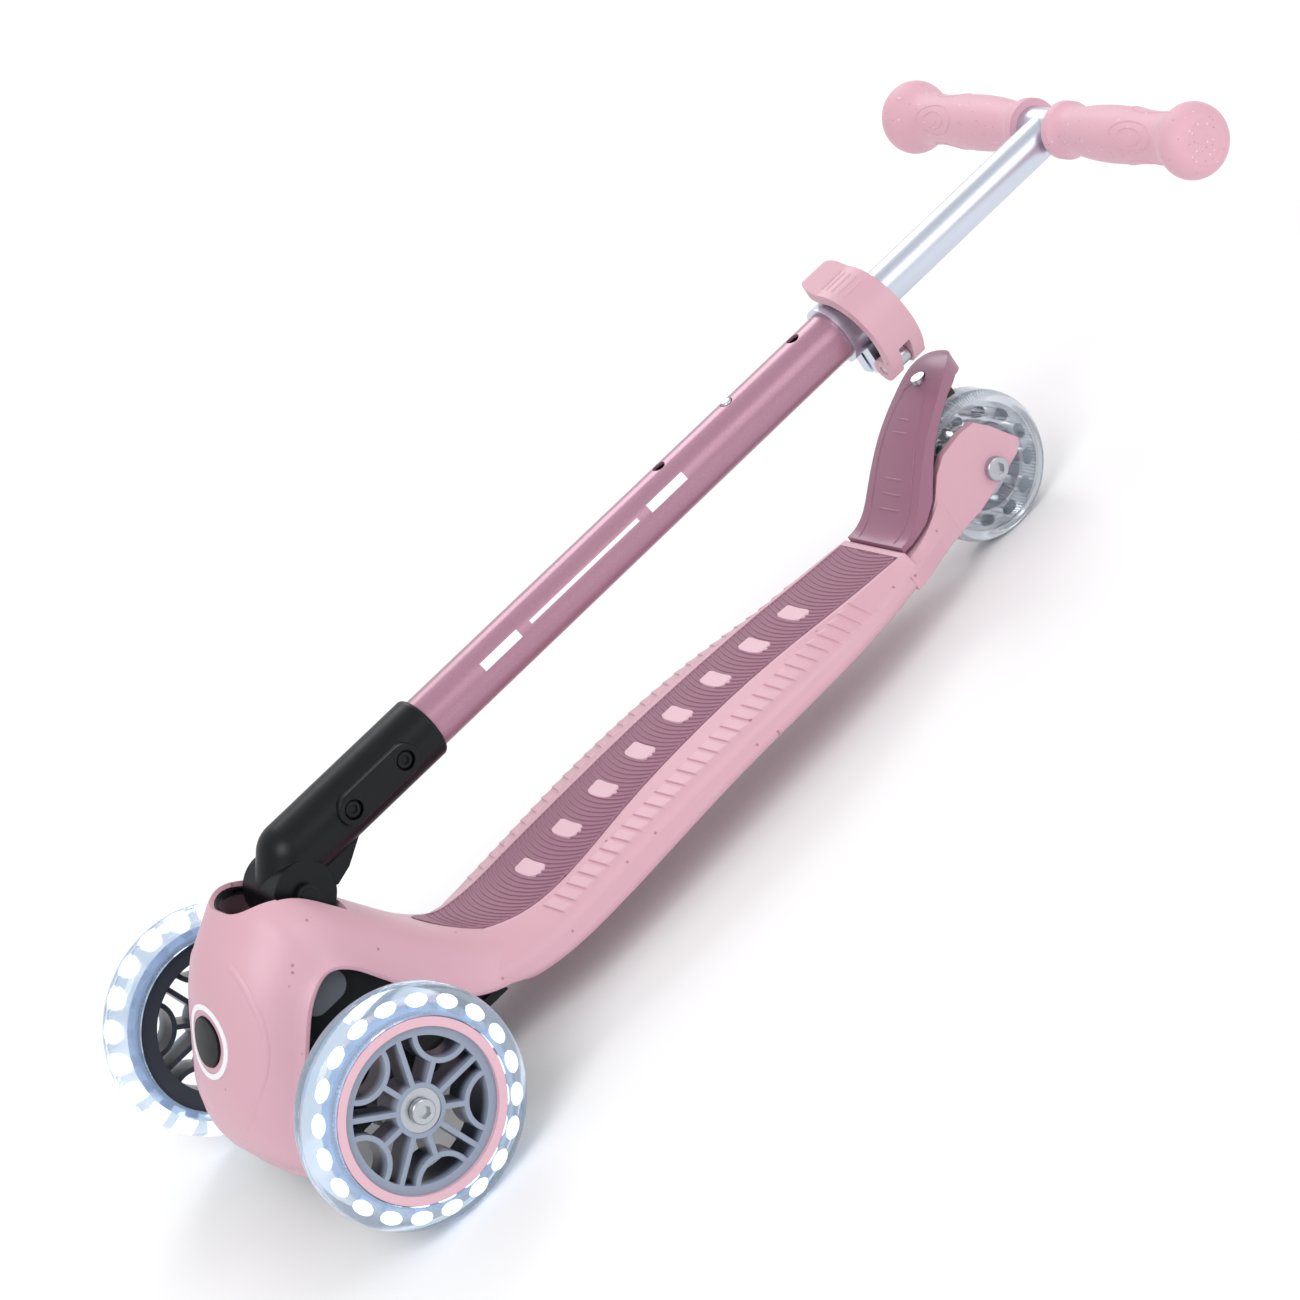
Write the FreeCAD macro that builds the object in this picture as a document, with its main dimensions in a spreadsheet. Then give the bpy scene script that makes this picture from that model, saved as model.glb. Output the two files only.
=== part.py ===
import FreeCAD, Part
import math
import os
import re

# Folded kick scooter with two leaning front wheels. +X is the rider's left, the front
# faces -Y, +Z is up. Shapes are drawn with y = 0 at the front axle and z = 0 on the
# floor, and every sub-part is then placed by front_axle_place, which puts the row's
# origin under the middle of the folded scooter.

Vec = FreeCAD.Vector
along_x, along_y, along_z = Vec(1, 0, 0), Vec(0, 1, 0), Vec(0, 0, 1)
doc = FreeCAD.newDocument("kick_scooter")
sheet = doc.addObject("Spreadsheet::Sheet", "sizes")

driving_sizes = {
    # front wheels and their axles
    "front_wheel_r": 60.5, "front_wheel_width": 24, "front_track": 211.4,
    "front_seat_r": 46.5, "front_crown_r": 10, "led_top_r": 51, "led_band_width": 10,
    "rim_inner_r": 36.5, "hub_depth": 19, "spoke_width": 2.7, "spoke_depth": 15,
    "arch_centre_r": 39.5, "arch_r": 14.7, "trim_inner_r": 41.2, "trim_outer_r": 45.8,
    "trim_height": 2.3, "bearing_outer_r": 11, "bearing_bore_r": 4.05,
    "bearing_width": 7, "boss_r": 13.5, "axle_r": 4, "axle_head_r": 6.5,
    # rear wheel
    "rear_wheel_r": 40, "rear_wheel_width": 24, "rear_axle_y": 476, "rear_seat_r": 34,
    "rear_crown_r": 5, "rear_slot_centre_r": 28.6, "arm_inner_x": 16, "arm_outer_x": 21,
    # fits
    "running_gap": 0.05, "piece_gap": 0.4, "press_gap": 0.02,
    # deck and hood moulding
    "hood_half_width": 50, "hood_wall": 3, "deck_wall": 3.2, "mat_thickness": 2,
    "mat_edge_gap": 0.5, "opening_half_width": 25,
    # steering
    "lean_axis_z": 97, "lean_shaft_r": 5, "fold_y": 45, "fold_z": 136, "fold_pin_r": 4,
    "yoke_ear": 3, "yoke_ear_r": 6, "kingpin_x": 70, "kingpin_r": 3, "knuckle_r": 8.5,
    "steer_arm": 28, "tie_pin_r": 3,
    # T-bar
    "ridge_round": 8, "foot_round": 4, "rib_width": 2.2, "rib_pitch": 30, "keel_x": 14,
    "bar_axis_z": 150, "boot_r": 17.2, "boot_end_y": 150, "boot_angle": 50,
    "lower_tube_r": 14.3, "lower_tube_bore_r": 12.7, "lower_tube_end_y": 459,
    "upper_tube_r": 10.75, "upper_tube_bore_r": 9.2, "height_hole_y": 380,
    "height_step": 50, "height_hole_r": 3.6, "bar_y": 618, "cross_tube_r": 11,
    "collar_start_y": 449, "collar_end_y": 476, "collar_r": 17,
    "grip_start_x": 14, "grip_end_x": 135.8, "grip_bulb_r": 19.7,
    # quick-release lever
    "lever_pivot_x": 22, "lever_pivot_z": 126, "lever_centre_x": 4, "lever_centre_z": 143,
    "lever_inner_r": 25.4, "lever_outer_r": 31, "lever_y": 465, "lever_width": 24, "lever_pin_r": 2.5,
    # brake
    "brake_pin_y": 411, "brake_pin_z": 37, "brake_pin_r": 2.5, "brake_wall": 3.2,
    # buttons
    "lock_button_r": 12.5, "lock_ring_inner_r": 16, "lock_ring_outer_r": 19,
    "fold_button_long": 26, "fold_button_high": 16, "button_gap": 0.4,
}
for row, (alias, value) in enumerate(driving_sizes.items(), 1):
    sheet.set(f"A{row}", alias)
    sheet.set(f"B{row}", str(value))
    sheet.setAlias(f"B{row}", alias)
doc.recompute()
s = sheet

front_x = s.front_track / 2
bar_end_y = s.bar_y + s.grip_bulb_r
front_axle_place = FreeCAD.Placement(Vec(0, (s.front_wheel_r - bar_end_y) / 2, 0),
                                     FreeCAD.Rotation())
fold_point = Vec(0, s.fold_y, s.fold_z)
kept = []


# ---- document helpers

def bind(obj, **formulas):
    """Bind properties to formulas written in the sheet's aliases."""
    for prop, words in formulas.items():
        obj.setExpression(prop, re.sub(r"[a-z]\w*", lambda word: "sizes." + word.group(0), words))
    return obj


def stood(base, axis=along_z):
    return FreeCAD.Placement(Vec(*base), FreeCAD.Rotation(along_z, axis))


def keep(obj, label, place=None):
    """Make obj the sub-part called label."""
    obj.Label = label
    obj.Placement = front_axle_place.multiply(place if place else obj.Placement)
    kept.append(obj)
    return obj


def keep_shape(shape, label):
    obj = doc.addObject("Part::Feature", label)
    obj.Shape = shape.removeSplitter()
    return keep(obj, label)


def cylinder(radius, height, base, axis=along_z):
    obj = bind(doc.addObject("Part::Cylinder", "Cylinder"), Radius=radius, Height=height)
    obj.Placement = stood(base, axis)
    return obj


def fuse(*pieces):
    obj = doc.addObject("Part::MultiFuse", "Fuse")
    obj.Shapes = list(pieces)
    return obj


def cut(base, *tools):
    obj = doc.addObject("Part::Cut", "Cut")
    obj.Base = base
    obj.Tool = tools[0] if len(tools) == 1 else fuse(*tools)
    return obj


def group(*pieces):
    obj = doc.addObject("Part::Compound", "Group")
    obj.Links = list(pieces)
    return obj


def sketch_on(body, role, outlines):
    """A sketch on one of the body's origin planes. An outline is a list of points, where
    a four-number entry is an arc through the first pair to the second pair."""
    sketch = body.newObject("Sketcher::SketchObject", "Outline")
    plane = next(f for f in body.Origin.OriginFeatures if f.Role == role)
    sketch.AttachmentSupport = [(plane, "")]
    sketch.MapMode = "FlatFace"
    for outline in outlines:
        last = Vec(*outline[-1][-2:], 0)
        for entry in outline:
            end = Vec(*entry[-2:], 0)
            if len(entry) == 4:
                sketch.addGeometry(Part.Arc(last, Vec(*entry[:2], 0), end))
            elif not end.isEqual(last, 1e-6):
                sketch.addGeometry(Part.LineSegment(last, end))
            last = end
    return sketch


def turned(role, outline):
    """A body turned about the horizontal axis of its sketch plane."""
    body = doc.addObject("PartDesign::Body", "Turned")
    sketch = sketch_on(body, role, [outline])
    turn = body.newObject("PartDesign::Revolution", "Turn")
    turn.Profile = sketch
    turn.ReferenceAxis = (sketch, ["H_Axis"])
    turn.Angle = 360
    sketch.Visibility = False
    return body


def round_rim(half_width, inner_r, outer_r, crown_r):
    """Outline of a ring with rounded outer corners, as (along the axis, radius)."""
    step = crown_r * (1 - math.sqrt(0.5))
    return [(-half_width, inner_r), (-half_width, outer_r - crown_r),
            (-half_width + step, outer_r - step, -half_width + crown_r, outer_r),
            (half_width - crown_r, outer_r),
            (half_width - step, outer_r - step, half_width, outer_r - crown_r),
            (half_width, inner_r)]


# ---- shape helpers for the moulded pieces

def rod(radius, start, end):
    line = Vec(*end) - Vec(*start)
    return Part.makeCylinder(radius, line.Length, Vec(*start), line)


def block(x_from, x_to, y_from, y_to, z_from, z_to):
    return Part.makeBox(x_to - x_from, y_to - y_from, z_to - z_from, Vec(x_from, y_from, z_from))


def wire_side(points, x):
    """Closed wire in the plane of x, through (y, z) points."""
    return Part.makePolygon([Vec(x, y, z) for y, z in points + points[:1]])


def side_plate(points, x_from, x_to):
    """Flat plate with a (y, z) outline, between two x values."""
    return Part.Face(wire_side(points, x_from)).extrude(Vec(x_to - x_from, 0, 0))


def spline_plate(curve, back, x_from, x_to):
    """Plate between two x values whose (y, z) outline is a smooth curve and a straight back."""
    smooth = Part.BSplineCurve()
    smooth.interpolate([Vec(x_from, y, z) for y, z in curve])
    rest = Part.makePolygon([Vec(x_from, y, z) for y, z in curve[-1:] + back + curve[:1]])
    return Part.Face(Part.Wire([smooth.toShape()] + rest.Edges)).extrude(Vec(x_to - x_from, 0, 0))


# ---- wheels

def front_wheel(side, word):
    """All the turning pieces of one front wheel. side is +1 on the left."""
    place = FreeCAD.Placement(Vec(side * front_x, 0, s.front_wheel_r),
                              FreeCAD.Rotation(along_z, 0 if side > 0 else 180))
    half = s.front_wheel_width / 2
    band = s.led_band_width / 2
    face = s.hub_depth / 2

    rim = round_rim(half, s.front_seat_r, s.front_wheel_r, s.front_crown_r)
    pocket_r = s.led_top_r + s.piece_gap
    pocket = [(band + s.piece_gap, s.front_seat_r), (band + s.piece_gap, pocket_r),
              (-band - s.piece_gap, pocket_r), (-band - s.piece_gap, s.front_seat_r)]
    keep(turned("XZ_Plane", rim + pocket), "tyre_" + word, place)

    led_band = Part.makeCylinder(s.front_seat_r + 1.5, 2 * band, Vec(-band, 0, 0), along_x)
    led_band = led_band.cut(Part.makeCylinder(s.front_seat_r, 2 * band, Vec(-band, 0, 0), along_x))
    lamp_count = 20
    for i in range(lamp_count):
        lamp = block(-2.5, 2.5, -2.5, 2.5, s.front_seat_r + 1, s.led_top_r)
        lamp.rotate(Vec(), along_x, i * 360 / lamp_count)
        led_band = led_band.fuse(lamp)
    obj = doc.addObject("Part::Feature", "led_ring_" + word)
    obj.Shape = led_band
    keep(obj, "led_ring_" + word, place)

    hub = Part.makeCylinder(s.front_seat_r, s.hub_depth, Vec(-face, 0, 0), along_x)
    hub = hub.cut(Part.makeCylinder(s.rim_inner_r, s.hub_depth, Vec(-face, 0, 0), along_x))
    hub = hub.fuse(Part.makeCylinder(s.boss_r, s.hub_depth, Vec(-face, 0, 0), along_x))
    spoke_back = face - s.spoke_depth
    for i in range(5):
        long_spoke = block(spoke_back, face, -s.spoke_width / 2, s.spoke_width / 2,
                           s.boss_r - 1, s.rim_inner_r + 1)
        long_spoke.rotate(Vec(), along_x, i * 72 - 90)
        centre = Vec(spoke_back, 0, s.arch_centre_r)
        arch = Part.makeCylinder(s.arch_r + s.spoke_width / 2, s.spoke_depth, centre, along_x)
        arch = arch.cut(Part.makeCylinder(s.arch_r - s.spoke_width / 2, s.spoke_depth, centre, along_x))
        arch = arch.common(Part.makeCylinder(s.rim_inner_r + 0.5, 2 * half, Vec(-half, 0, 0), along_x))
        short_spoke = block(spoke_back, face, -s.spoke_width / 2, s.spoke_width / 2,
                            s.boss_r - 1, s.arch_centre_r - s.arch_r)
        arch = arch.fuse(short_spoke)
        arch.rotate(Vec(), along_x, i * 72 - 54)
        hub = hub.fuse([long_spoke, arch])
    seat = s.bearing_width + 0.5
    seat_r = s.bearing_outer_r + s.press_gap
    for start in (-face, face - seat):
        hub = hub.cut(Part.makeCylinder(seat_r, seat, Vec(start, 0, 0), along_x))
    hub = hub.cut(Part.makeCylinder(s.bearing_outer_r - 2, s.hub_depth, Vec(-face, 0, 0), along_x))
    obj = doc.addObject("Part::Feature", "hub_" + word)
    obj.Shape = hub.removeSplitter()
    keep(obj, "hub_" + word, place)

    ring = cylinder("trim_outer_r", "trim_height", (face, 0, 0), along_x)
    hole = cylinder("trim_inner_r", "trim_height", (face, 0, 0), along_x)
    keep(cut(ring, hole), "trim_ring_" + word, place)

    pair = [bearing(Vec(start, 0, 0)) for start in (-face + 0.5, face - 0.5 - s.bearing_width)]
    keep(group(*pair), "bearings_" + word, place)


def bearing(start):
    """A sealed ball bearing as one turning ring."""
    ring = cylinder("bearing_outer_r", "bearing_width", start, along_x)
    return cut(ring, cylinder("bearing_bore_r", "bearing_width", start, along_x))


def rear_wheel():
    place = FreeCAD.Placement(Vec(0, s.rear_axle_y, s.rear_wheel_r), FreeCAD.Rotation())
    half = s.rear_wheel_width / 2
    rim = round_rim(half, s.rear_seat_r, s.rear_wheel_r, s.rear_crown_r)
    keep(turned("XZ_Plane", rim), "rear_tyre", place)

    face = half - 1
    outline = [(-face, s.bearing_outer_r + s.press_gap), (-face, s.boss_r), (-3, s.boss_r + 2),
               (-3, s.rear_slot_centre_r - 8), (-face + 1, s.rear_slot_centre_r - 5),
               (-face + 1, s.rear_seat_r), (face - 1, s.rear_seat_r),
               (face - 1, s.rear_slot_centre_r - 5), (3, s.rear_slot_centre_r - 8),
               (3, s.boss_r + 2), (face, s.boss_r), (face, s.bearing_outer_r + s.press_gap),
               (2, s.bearing_outer_r + s.press_gap), (2, s.bearing_outer_r - 2),
               (-2, s.bearing_outer_r - 2), (-2, s.bearing_outer_r + s.press_gap)]
    body = turned("XZ_Plane", outline)
    slot = sketch_on(body, "YZ_Plane", [[(-1.5, s.rear_slot_centre_r - 3),
                                        (1.5, s.rear_slot_centre_r - 3),
                                        (4.5, s.rear_slot_centre_r, 1.5, s.rear_slot_centre_r + 3),
                                        (-1.5, s.rear_slot_centre_r + 3),
                                        (-4.5, s.rear_slot_centre_r, -1.5, s.rear_slot_centre_r - 3)]])
    doc.recompute()
    pocket = body.newObject("PartDesign::Pocket", "Slot")
    pocket.Profile = slot
    pocket.Midplane = True
    pocket.Type = "Length"
    bind(pocket, Length="2 * rear_wheel_width")
    doc.recompute()
    ring = body.newObject("PartDesign::PolarPattern", "Slots")
    ring.Originals = [pocket]
    ring.Axis = (slot, ["N_Axis"])
    ring.Angle = 360
    ring.Occurrences = 12
    body.Tip = ring
    keep(body, "rear_hub", place)

    pair = [bearing(Vec(start, 0, 0)) for start in (-face + 0.5, face - 0.5 - s.bearing_width)]
    keep(group(*pair), "rear_bearings", place)
    bearing_face = face - 0.5
    spacers = []
    for start in (-s.arm_inner_x, bearing_face + s.piece_gap):
        length = s.arm_inner_x - bearing_face - s.piece_gap
        outer = Part.makeCylinder(6, length, Vec(start, 0, 0), along_x)
        spacers.append(outer.cut(Part.makeCylinder(s.axle_r, length, Vec(start, 0, 0), along_x)))
    inner_length = 2 * (bearing_face - s.bearing_width - s.piece_gap)
    middle = Part.makeCylinder(6, inner_length, Vec(-inner_length / 2, 0, 0), along_x)
    spacers.append(middle.cut(Part.makeCylinder(s.axle_r, inner_length,
                                                Vec(-inner_length / 2, 0, 0), along_x)))
    obj = doc.addObject("Part::Feature", "rear_spacers")
    obj.Shape = Part.makeCompound(spacers)
    keep(obj, "rear_spacers", place)


def hex_socket_bolt(shank_r, shank, head_r, head):
    """A bolt along +X whose head's seat is at the origin, with a hex socket."""
    bolt = Part.makeCylinder(shank_r, shank, Vec(), Vec(-1, 0, 0))
    crown = Part.makeCylinder(head_r, head, Vec(), along_x)
    rim = [edge for edge in crown.Edges if edge.BoundBox.XMin > head - 0.01]
    crown = crown.makeFillet(min(0.35 * head, 1.2), rim)
    corners = [Vec(head * 0.45, 0.55 * head_r * math.cos(math.radians(60 * i)),
                   0.55 * head_r * math.sin(math.radians(60 * i))) for i in range(7)]
    socket = Part.Face(Part.makePolygon(corners)).extrude(Vec(head, 0, 0))
    return bolt.fuse(crown).cut(socket)


def hex_nut(hole_r, flat_r, height, at, axis):
    corners = [Vec(flat_r / math.cos(math.radians(30)) * math.cos(math.radians(60 * i)),
                   flat_r / math.cos(math.radians(30)) * math.sin(math.radians(60 * i)), 0)
               for i in range(7)]
    nut = Part.Face(Part.makePolygon(corners)).extrude(Vec(0, 0, height))
    nut = nut.cut(Part.makeCylinder(hole_r, height))
    nut.Placement = stood(at, axis)
    return nut


front_wheel(1, "left")
front_wheel(-1, "right")
rear_wheel()

bolt = hex_socket_bolt(s.axle_r, 2 * s.arm_outer_x + 6.5, s.axle_head_r, 4)
bolt.translate(Vec(s.arm_outer_x, s.rear_axle_y, s.rear_wheel_r))
keep_shape(bolt, "rear_axle_bolt")
keep_shape(hex_nut(s.axle_r, 6.5, 6, (-s.arm_outer_x, s.rear_axle_y, s.rear_wheel_r),
                   Vec(-1, 0, 0)), "rear_axle_nut")


# ---- hood and deck moulding

# side profiles of the hood, from its front lip over the top to the deck: y and z down the
# middle, y and z along the arch edge, and how squarely the skin domes between them
hood_rows = [
    (-47, 38, -42, 38, 2.2), (-53, 54, -43, 49, 2.4), (-51, 72, -38, 63, 2.6),
    (-44, 90, -29, 73, 2.9), (-34, 107, -20, 82, 3.0), (-22, 127, -9, 94, 2.8),
    (-10, 141, 3, 107, 2.5), (5, 151.5, 12, 113, 2.4), (20, 158, 22, 115, 2.6),
    (36, 151, 32, 109, 2.8), (50, 133, 41, 96, 3.0), (63, 112, 50, 80, 3.4),
    (75, 93, 60, 65, 3.8), (86, 77, 73, 51, 4.0), (100, 63, 90, 42, 4.0), (118, 53, 112, 38, 4.0),
]
hood_floor_z = 34
lip_z, lip_rise = 38, 34


def hood_solid(offset, floor_z, x_scale=1.0):
    """The hood's full solid, its skin moved outward by offset."""
    sections = []
    last = len(hood_rows) - 1
    for share in (-1, -0.8, -0.5, -0.2, 0.2, 0.5, 0.8, 1):
        points = []
        for mid_y, mid_z, edge_y, edge_z, power in hood_rows:
            dome = 1 - abs(share) ** power
            points.append((edge_y + (mid_y - edge_y) * dome, edge_z + (mid_z - edge_z) * dome))
        x = share * s.hood_half_width * x_scale
        moved = []
        for i, (y, z) in enumerate(points):
            before, after = points[max(i - 1, 0)], points[min(i + 1, last)]
            run, rise = after[0] - before[0], after[1] - before[1]
            length = math.hypot(run, rise)
            moved.append(Vec(x, y - offset * rise / length, z + offset * run / length))
        curve = Part.BSplineCurve()
        curve.interpolate(moved)
        corners = [moved[-1], Vec(x, moved[-1].y, floor_z), Vec(x, moved[0].y, floor_z), moved[0]]
        sections.append(Part.Wire([curve.toShape()] + Part.makePolygon(corners).Edges))
    return Part.makeLoft(sections, True, False)


def below_lip():
    """What lies under the hood's rounded front lip, which rises to the arches at its sides."""
    wide = s.hood_half_width + 10
    lip = Part.BSplineCurve()
    lip.interpolate([Vec(x, -90, lip_z + lip_rise * abs(x / s.hood_half_width) ** 3)
                     for x in (-wide, -45, -30, -15, 0, 15, 30, 45, wide)])
    ends = lip.toShape().Vertexes
    base = Part.makePolygon([ends[-1].Point, Vec(wide, -90, -20), Vec(-wide, -90, -20), ends[0].Point])
    return Part.Face(Part.Wire([lip.toShape()] + base.Edges)).extrude(Vec(0, 90, 0))


# deck sections: y, tread half width, tread z, ridge half width, ridge z, foot half width, foot z
deck_sections = [
    (84, 24, 64.0, 45, 47.0, 49.6, 38.5),
    (100, 26.5, 60.0, 50, 44.5, 53, 33.5),
    (122, 31, 53.0, 53, 44.5, 56.3, 30.3),
    (151, 34.5, 51.3, 53.5, 46.0, 57, 29.5),
    (199, 31, 53.9, 53.5, 48.7, 57, 31.5),
    (248, 28.5, 55.2, 53.5, 49.0, 57, 33.8),
    (299, 27.5, 53.9, 50.5, 47.0, 55, 33.0),
    (341, 28.5, 50.7, 45.5, 43.0, 51, 31.0),
    (375, 29.5, 47.5, 40, 39.5, 44, 29.5),
    (404, 28, 45.2, 33, 37.5, 35.5, 28.5),
]


def deck_solid(inset, top_drop, foot_drop, ridge_r=0, foot_r=0):
    """The deck's full solid, inset from its sides and dropped from its top."""
    wires = []
    for y, tread, tread_z, ridge, ridge_z, foot, foot_z in deck_sections:
        right = [(tread, tread_z - top_drop), (ridge - inset, ridge_z - top_drop * 0.8),
                 (foot - inset, foot_z - foot_drop)]
        points = right + [(-x, z) for x, z in reversed(right)]
        wires.append(Part.makePolygon([Vec(x, y, z) for x, z in points + points[:1]]))
    solid = Part.makeLoft(wires, True, False)
    for radius, (row_x, row_z) in ((ridge_r, deck_sections[4][3:5]), (foot_r, deck_sections[4][5:7])):
        if radius:
            long_edges = [edge for edge in solid.Edges if edge.BoundBox.YLength > 200 and
                          abs(max(edge.BoundBox.XMax, -edge.BoundBox.XMin) - row_x) < 1.2 and
                          edge.BoundBox.ZMin - 1 < row_z < edge.BoundBox.ZMax + 1]
            solid = solid.makeFillet(radius, long_edges)
    return solid


# side outline of a rear fork arm
arm_outline = [(385, 30), (385, 42), (403, 42), (420, 40), (430, 45), (438, 51.5), (446, 60.5),
               (455, 66.5), (470, 69), (480, 68), (487, 59.5), (497, 43), (492, 37.5), (480, 34),
               (470, 31), (457, 28), (437, 26.5)]

# the boot's folded and raised stances about the fold pin, for the opening it swings through
boot_elbow = Vec(0, s.fold_y + (s.bar_axis_z - s.fold_z) / math.tan(math.radians(s.boot_angle)),
                 s.bar_axis_z)
fold_travel = 75


def oblong_rod(radius, start, end, half_width):
    """A rod widened along X to a rounded oblong."""
    shift = Vec(half_width - radius, 0, 0)
    line = end - start
    up = line.cross(along_x).normalize() * radius
    corners = [start - shift + up, start + shift + up, start + shift - up, start - shift - up]
    middle = Part.Face(Part.makePolygon(corners + corners[:1])).extrude(line)
    sides = [rod(radius, start + move, end + move) for move in (-shift, shift)]
    return middle.fuse(sides)


def boot_envelope(radius, extra=0):
    """Space that the boot, leaning either way, needs from folded to raised."""
    half = s.opening_half_width + extra
    around_pin = radius + 1.5
    space = rod(around_pin, (-half, s.fold_y, s.fold_z), (half, s.fold_y, s.fold_z))
    reach = 70
    for turn in range(0, fold_travel + 1, 15):
        angle = math.radians(s.boot_angle + turn)
        end = fold_point + Vec(0, math.cos(angle), math.sin(angle)) * reach
        space = space.fuse(oblong_rod(radius, fold_point, end, half))
    return space.fuse(oblong_rod(radius, boot_elbow, boot_elbow + along_y * reach, half))


# the lock button's seat on the hood's front, and how deep its spring stands
lock_spring_depth = 18
lock_seat = Vec(0, -34, 107)
lock_out = Vec(0, -math.cos(math.radians(32)), math.sin(math.radians(32)))


def lock_cylinder(radius, depth, height):
    return Part.makeCylinder(radius, depth + height, lock_seat - lock_out * depth, lock_out)


def fork_cheek(side):
    """The flank that runs from the deck's tail into a rear fork arm."""
    wires = []
    for y, foot_x, top_x, foot_z, top_z in ((396, 36.5, 29, 28.7, 41), (404, 35, 28, 28.4, 41),
                                            (418, 28.5, 25.5, 27.4, 42.2), (430, 23.5, 22.5, 26.7, 45.5),
                                            (440, 21.1, 21.05, 26.4, 51)):
        points = [(s.arm_inner_x, foot_z), (foot_x, foot_z), (foot_x, foot_z + 8), (top_x, top_z),
                  (s.arm_inner_x, top_z)]
        wires.append(Part.makePolygon([Vec(side * x, y, z) for x, z in points + points[:1]]))
    return Part.makeLoft(wires, True, False)


def deck_shell():
    hood = hood_solid(0, hood_floor_z)
    hood = hood.cut(hood_solid(-s.hood_wall, hood_floor_z - 6, 1.02)).cut(below_lip())
    deck_full = deck_solid(0, 0, 0, s.ridge_round, s.foot_round)
    hollow = deck_solid(s.deck_wall, s.mat_thickness + s.deck_wall, 1)
    deck = deck_full.cut(hollow).cut(hood_solid(-s.hood_wall, hood_floor_z - 6, 1.02))
    shell = hood.fuse(deck)
    web = s.rib_width / 2
    webs = [block(-60, 60, y - web, y + web, 20, 60) for y in range(150, 391, s.rib_pitch)]
    webs += [block(x - web, x + web, 125, 400, 20, 60) for x in (-s.keel_x, s.keel_x)]
    within = deck_solid(1, s.mat_thickness, 0.1).common(deck_full)
    shell = shell.fuse([item.common(within) for item in webs])
    for side in (-1, 1):
        x_from, x_to = sorted((side * s.arm_inner_x, side * s.arm_outer_x))
        shell = shell.fuse(side_plate(arm_outline, x_from, x_to)).fuse(fork_cheek(side))
    # recess for the mat, wheel slot and fork bores
    shell = shell.cut(tread_plate(0.0, 10))
    well = Part.makeCylinder(s.rear_wheel_r + 4, 2 * s.arm_inner_x,
                             Vec(-s.arm_inner_x, s.rear_axle_y, s.rear_wheel_r), along_x)
    shell = shell.cut(well)
    shell = shell.cut(rod(s.axle_r, (-30, s.rear_axle_y, s.rear_wheel_r),
                          (30, s.rear_axle_y, s.rear_wheel_r)))
    shell = shell.cut(rod(s.brake_pin_r, (-20, s.brake_pin_y, s.brake_pin_z),
                          (20, s.brake_pin_y, s.brake_pin_z)))
    shell = shell.cut(boot_envelope(s.boot_r + 1.2))
    shell = shell.cut(lock_cylinder(s.lock_button_r + s.button_gap, 12, 12))
    ring = lock_cylinder(s.lock_ring_outer_r, 12, 12).cut(lock_cylinder(s.lock_ring_inner_r, 12, 12))
    return shell.cut(ring.cut(hood_solid(-1.2, hood_floor_z)))


def opening_liner():
    """Black rim just under the edge of the opening that the boot swings through."""
    band = hood_solid(-s.hood_wall - s.piece_gap, hood_floor_z)
    band = band.cut(hood_solid(-s.hood_wall - 2.8, hood_floor_z - 6, 1.02))
    near = boot_envelope(s.boot_r + 5, 4).common(block(-40, 40, -10, 90, 100, 170))
    yoke_room = block(-25, 25, 30, 56, 60, 121)
    rim = band.common(near).cut(boot_envelope(s.boot_r + 1.2)).cut(yoke_room)
    return max(rim.Solids, key=lambda solid: solid.Volume)


def tread_plate(lift, height):
    """Slab over the tread with the mat's plan shape, its floor lift above the mat's seat."""
    top = [(y, z - s.mat_thickness + lift) for y, z in tread_curve]
    slab = spline_plate(top, [(top[-1][0], top[-1][1] + height), (top[0][0] + height, top[0][1] + height)],
                        -40, 40)
    return slab.common(mat_plan(0))


tread_curve = [(84, 80), (93, 69.5), (103, 60), (113, 55.2), (124, 52.6), (151, 51.3), (199, 53.9),
               (248, 55.2), (299, 53.9), (341, 50.7), (375, 47.5), (402, 45.4)]


def mat_plan(inset):
    """Upright prism with the mat's plan outline: a rounded nose, a gentle waist, a square tail."""
    sides = [(400, 27), (375, 27), (341, 26.5), (299, 25.5), (248, 26.5), (199, 29), (151, 32.5),
             (125, 30), (106, 24), (92, 13)]
    tail, nose = 400 - inset, 86 + inset
    right = [Vec(x - inset, min(y, tail), 20) for y, x in sides]
    left = [Vec(-p.x, p.y, 20) for p in reversed(right)]
    curve = Part.BSplineCurve()
    curve.interpolate(right + [Vec(0, nose, 20)] + left)
    edge = Part.makeLine(left[-1], right[0])
    return Part.Face(Part.Wire([curve.toShape(), edge])).extrude(Vec(0, 0, 90))


def tread_mat():
    low = [(y, z - s.mat_thickness) for y, z in tread_curve]
    under = spline_plate(low, [(low[-1][0], 20), (low[0][0], 20)], -40, 40)
    over = spline_plate(tread_curve, [(low[-1][0], 20), (low[0][0], 20)], -40, 40)
    return over.cut(under).common(mat_plan(s.mat_edge_gap))


keep_shape(deck_shell(), "deck_shell")
keep_shape(opening_liner(), "opening_liner")
keep_shape(tread_mat(), "tread_mat")

ring = lock_cylinder(s.lock_ring_outer_r, 12, 12).cut(lock_cylinder(s.lock_ring_inner_r, 12, 12))
keep_shape(ring.common(hood_solid(0.5, hood_floor_z)).cut(hood_solid(-1.2, hood_floor_z)), "lock_ring")
button = lock_cylinder(s.lock_button_r, 10, 12).common(hood_solid(1.2, hood_floor_z))
keep_shape(button.cut(lock_cylinder(7.6, 10, -3)), "lock_button")
spring_inner, spring_outer, spring_top = 5, 7, 6.5
spring = lock_cylinder(spring_outer, lock_spring_depth, -spring_top)
keep_shape(spring.cut(lock_cylinder(spring_inner, lock_spring_depth, -spring_top)), "lock_spring")


# ---- front chassis and steering

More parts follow.
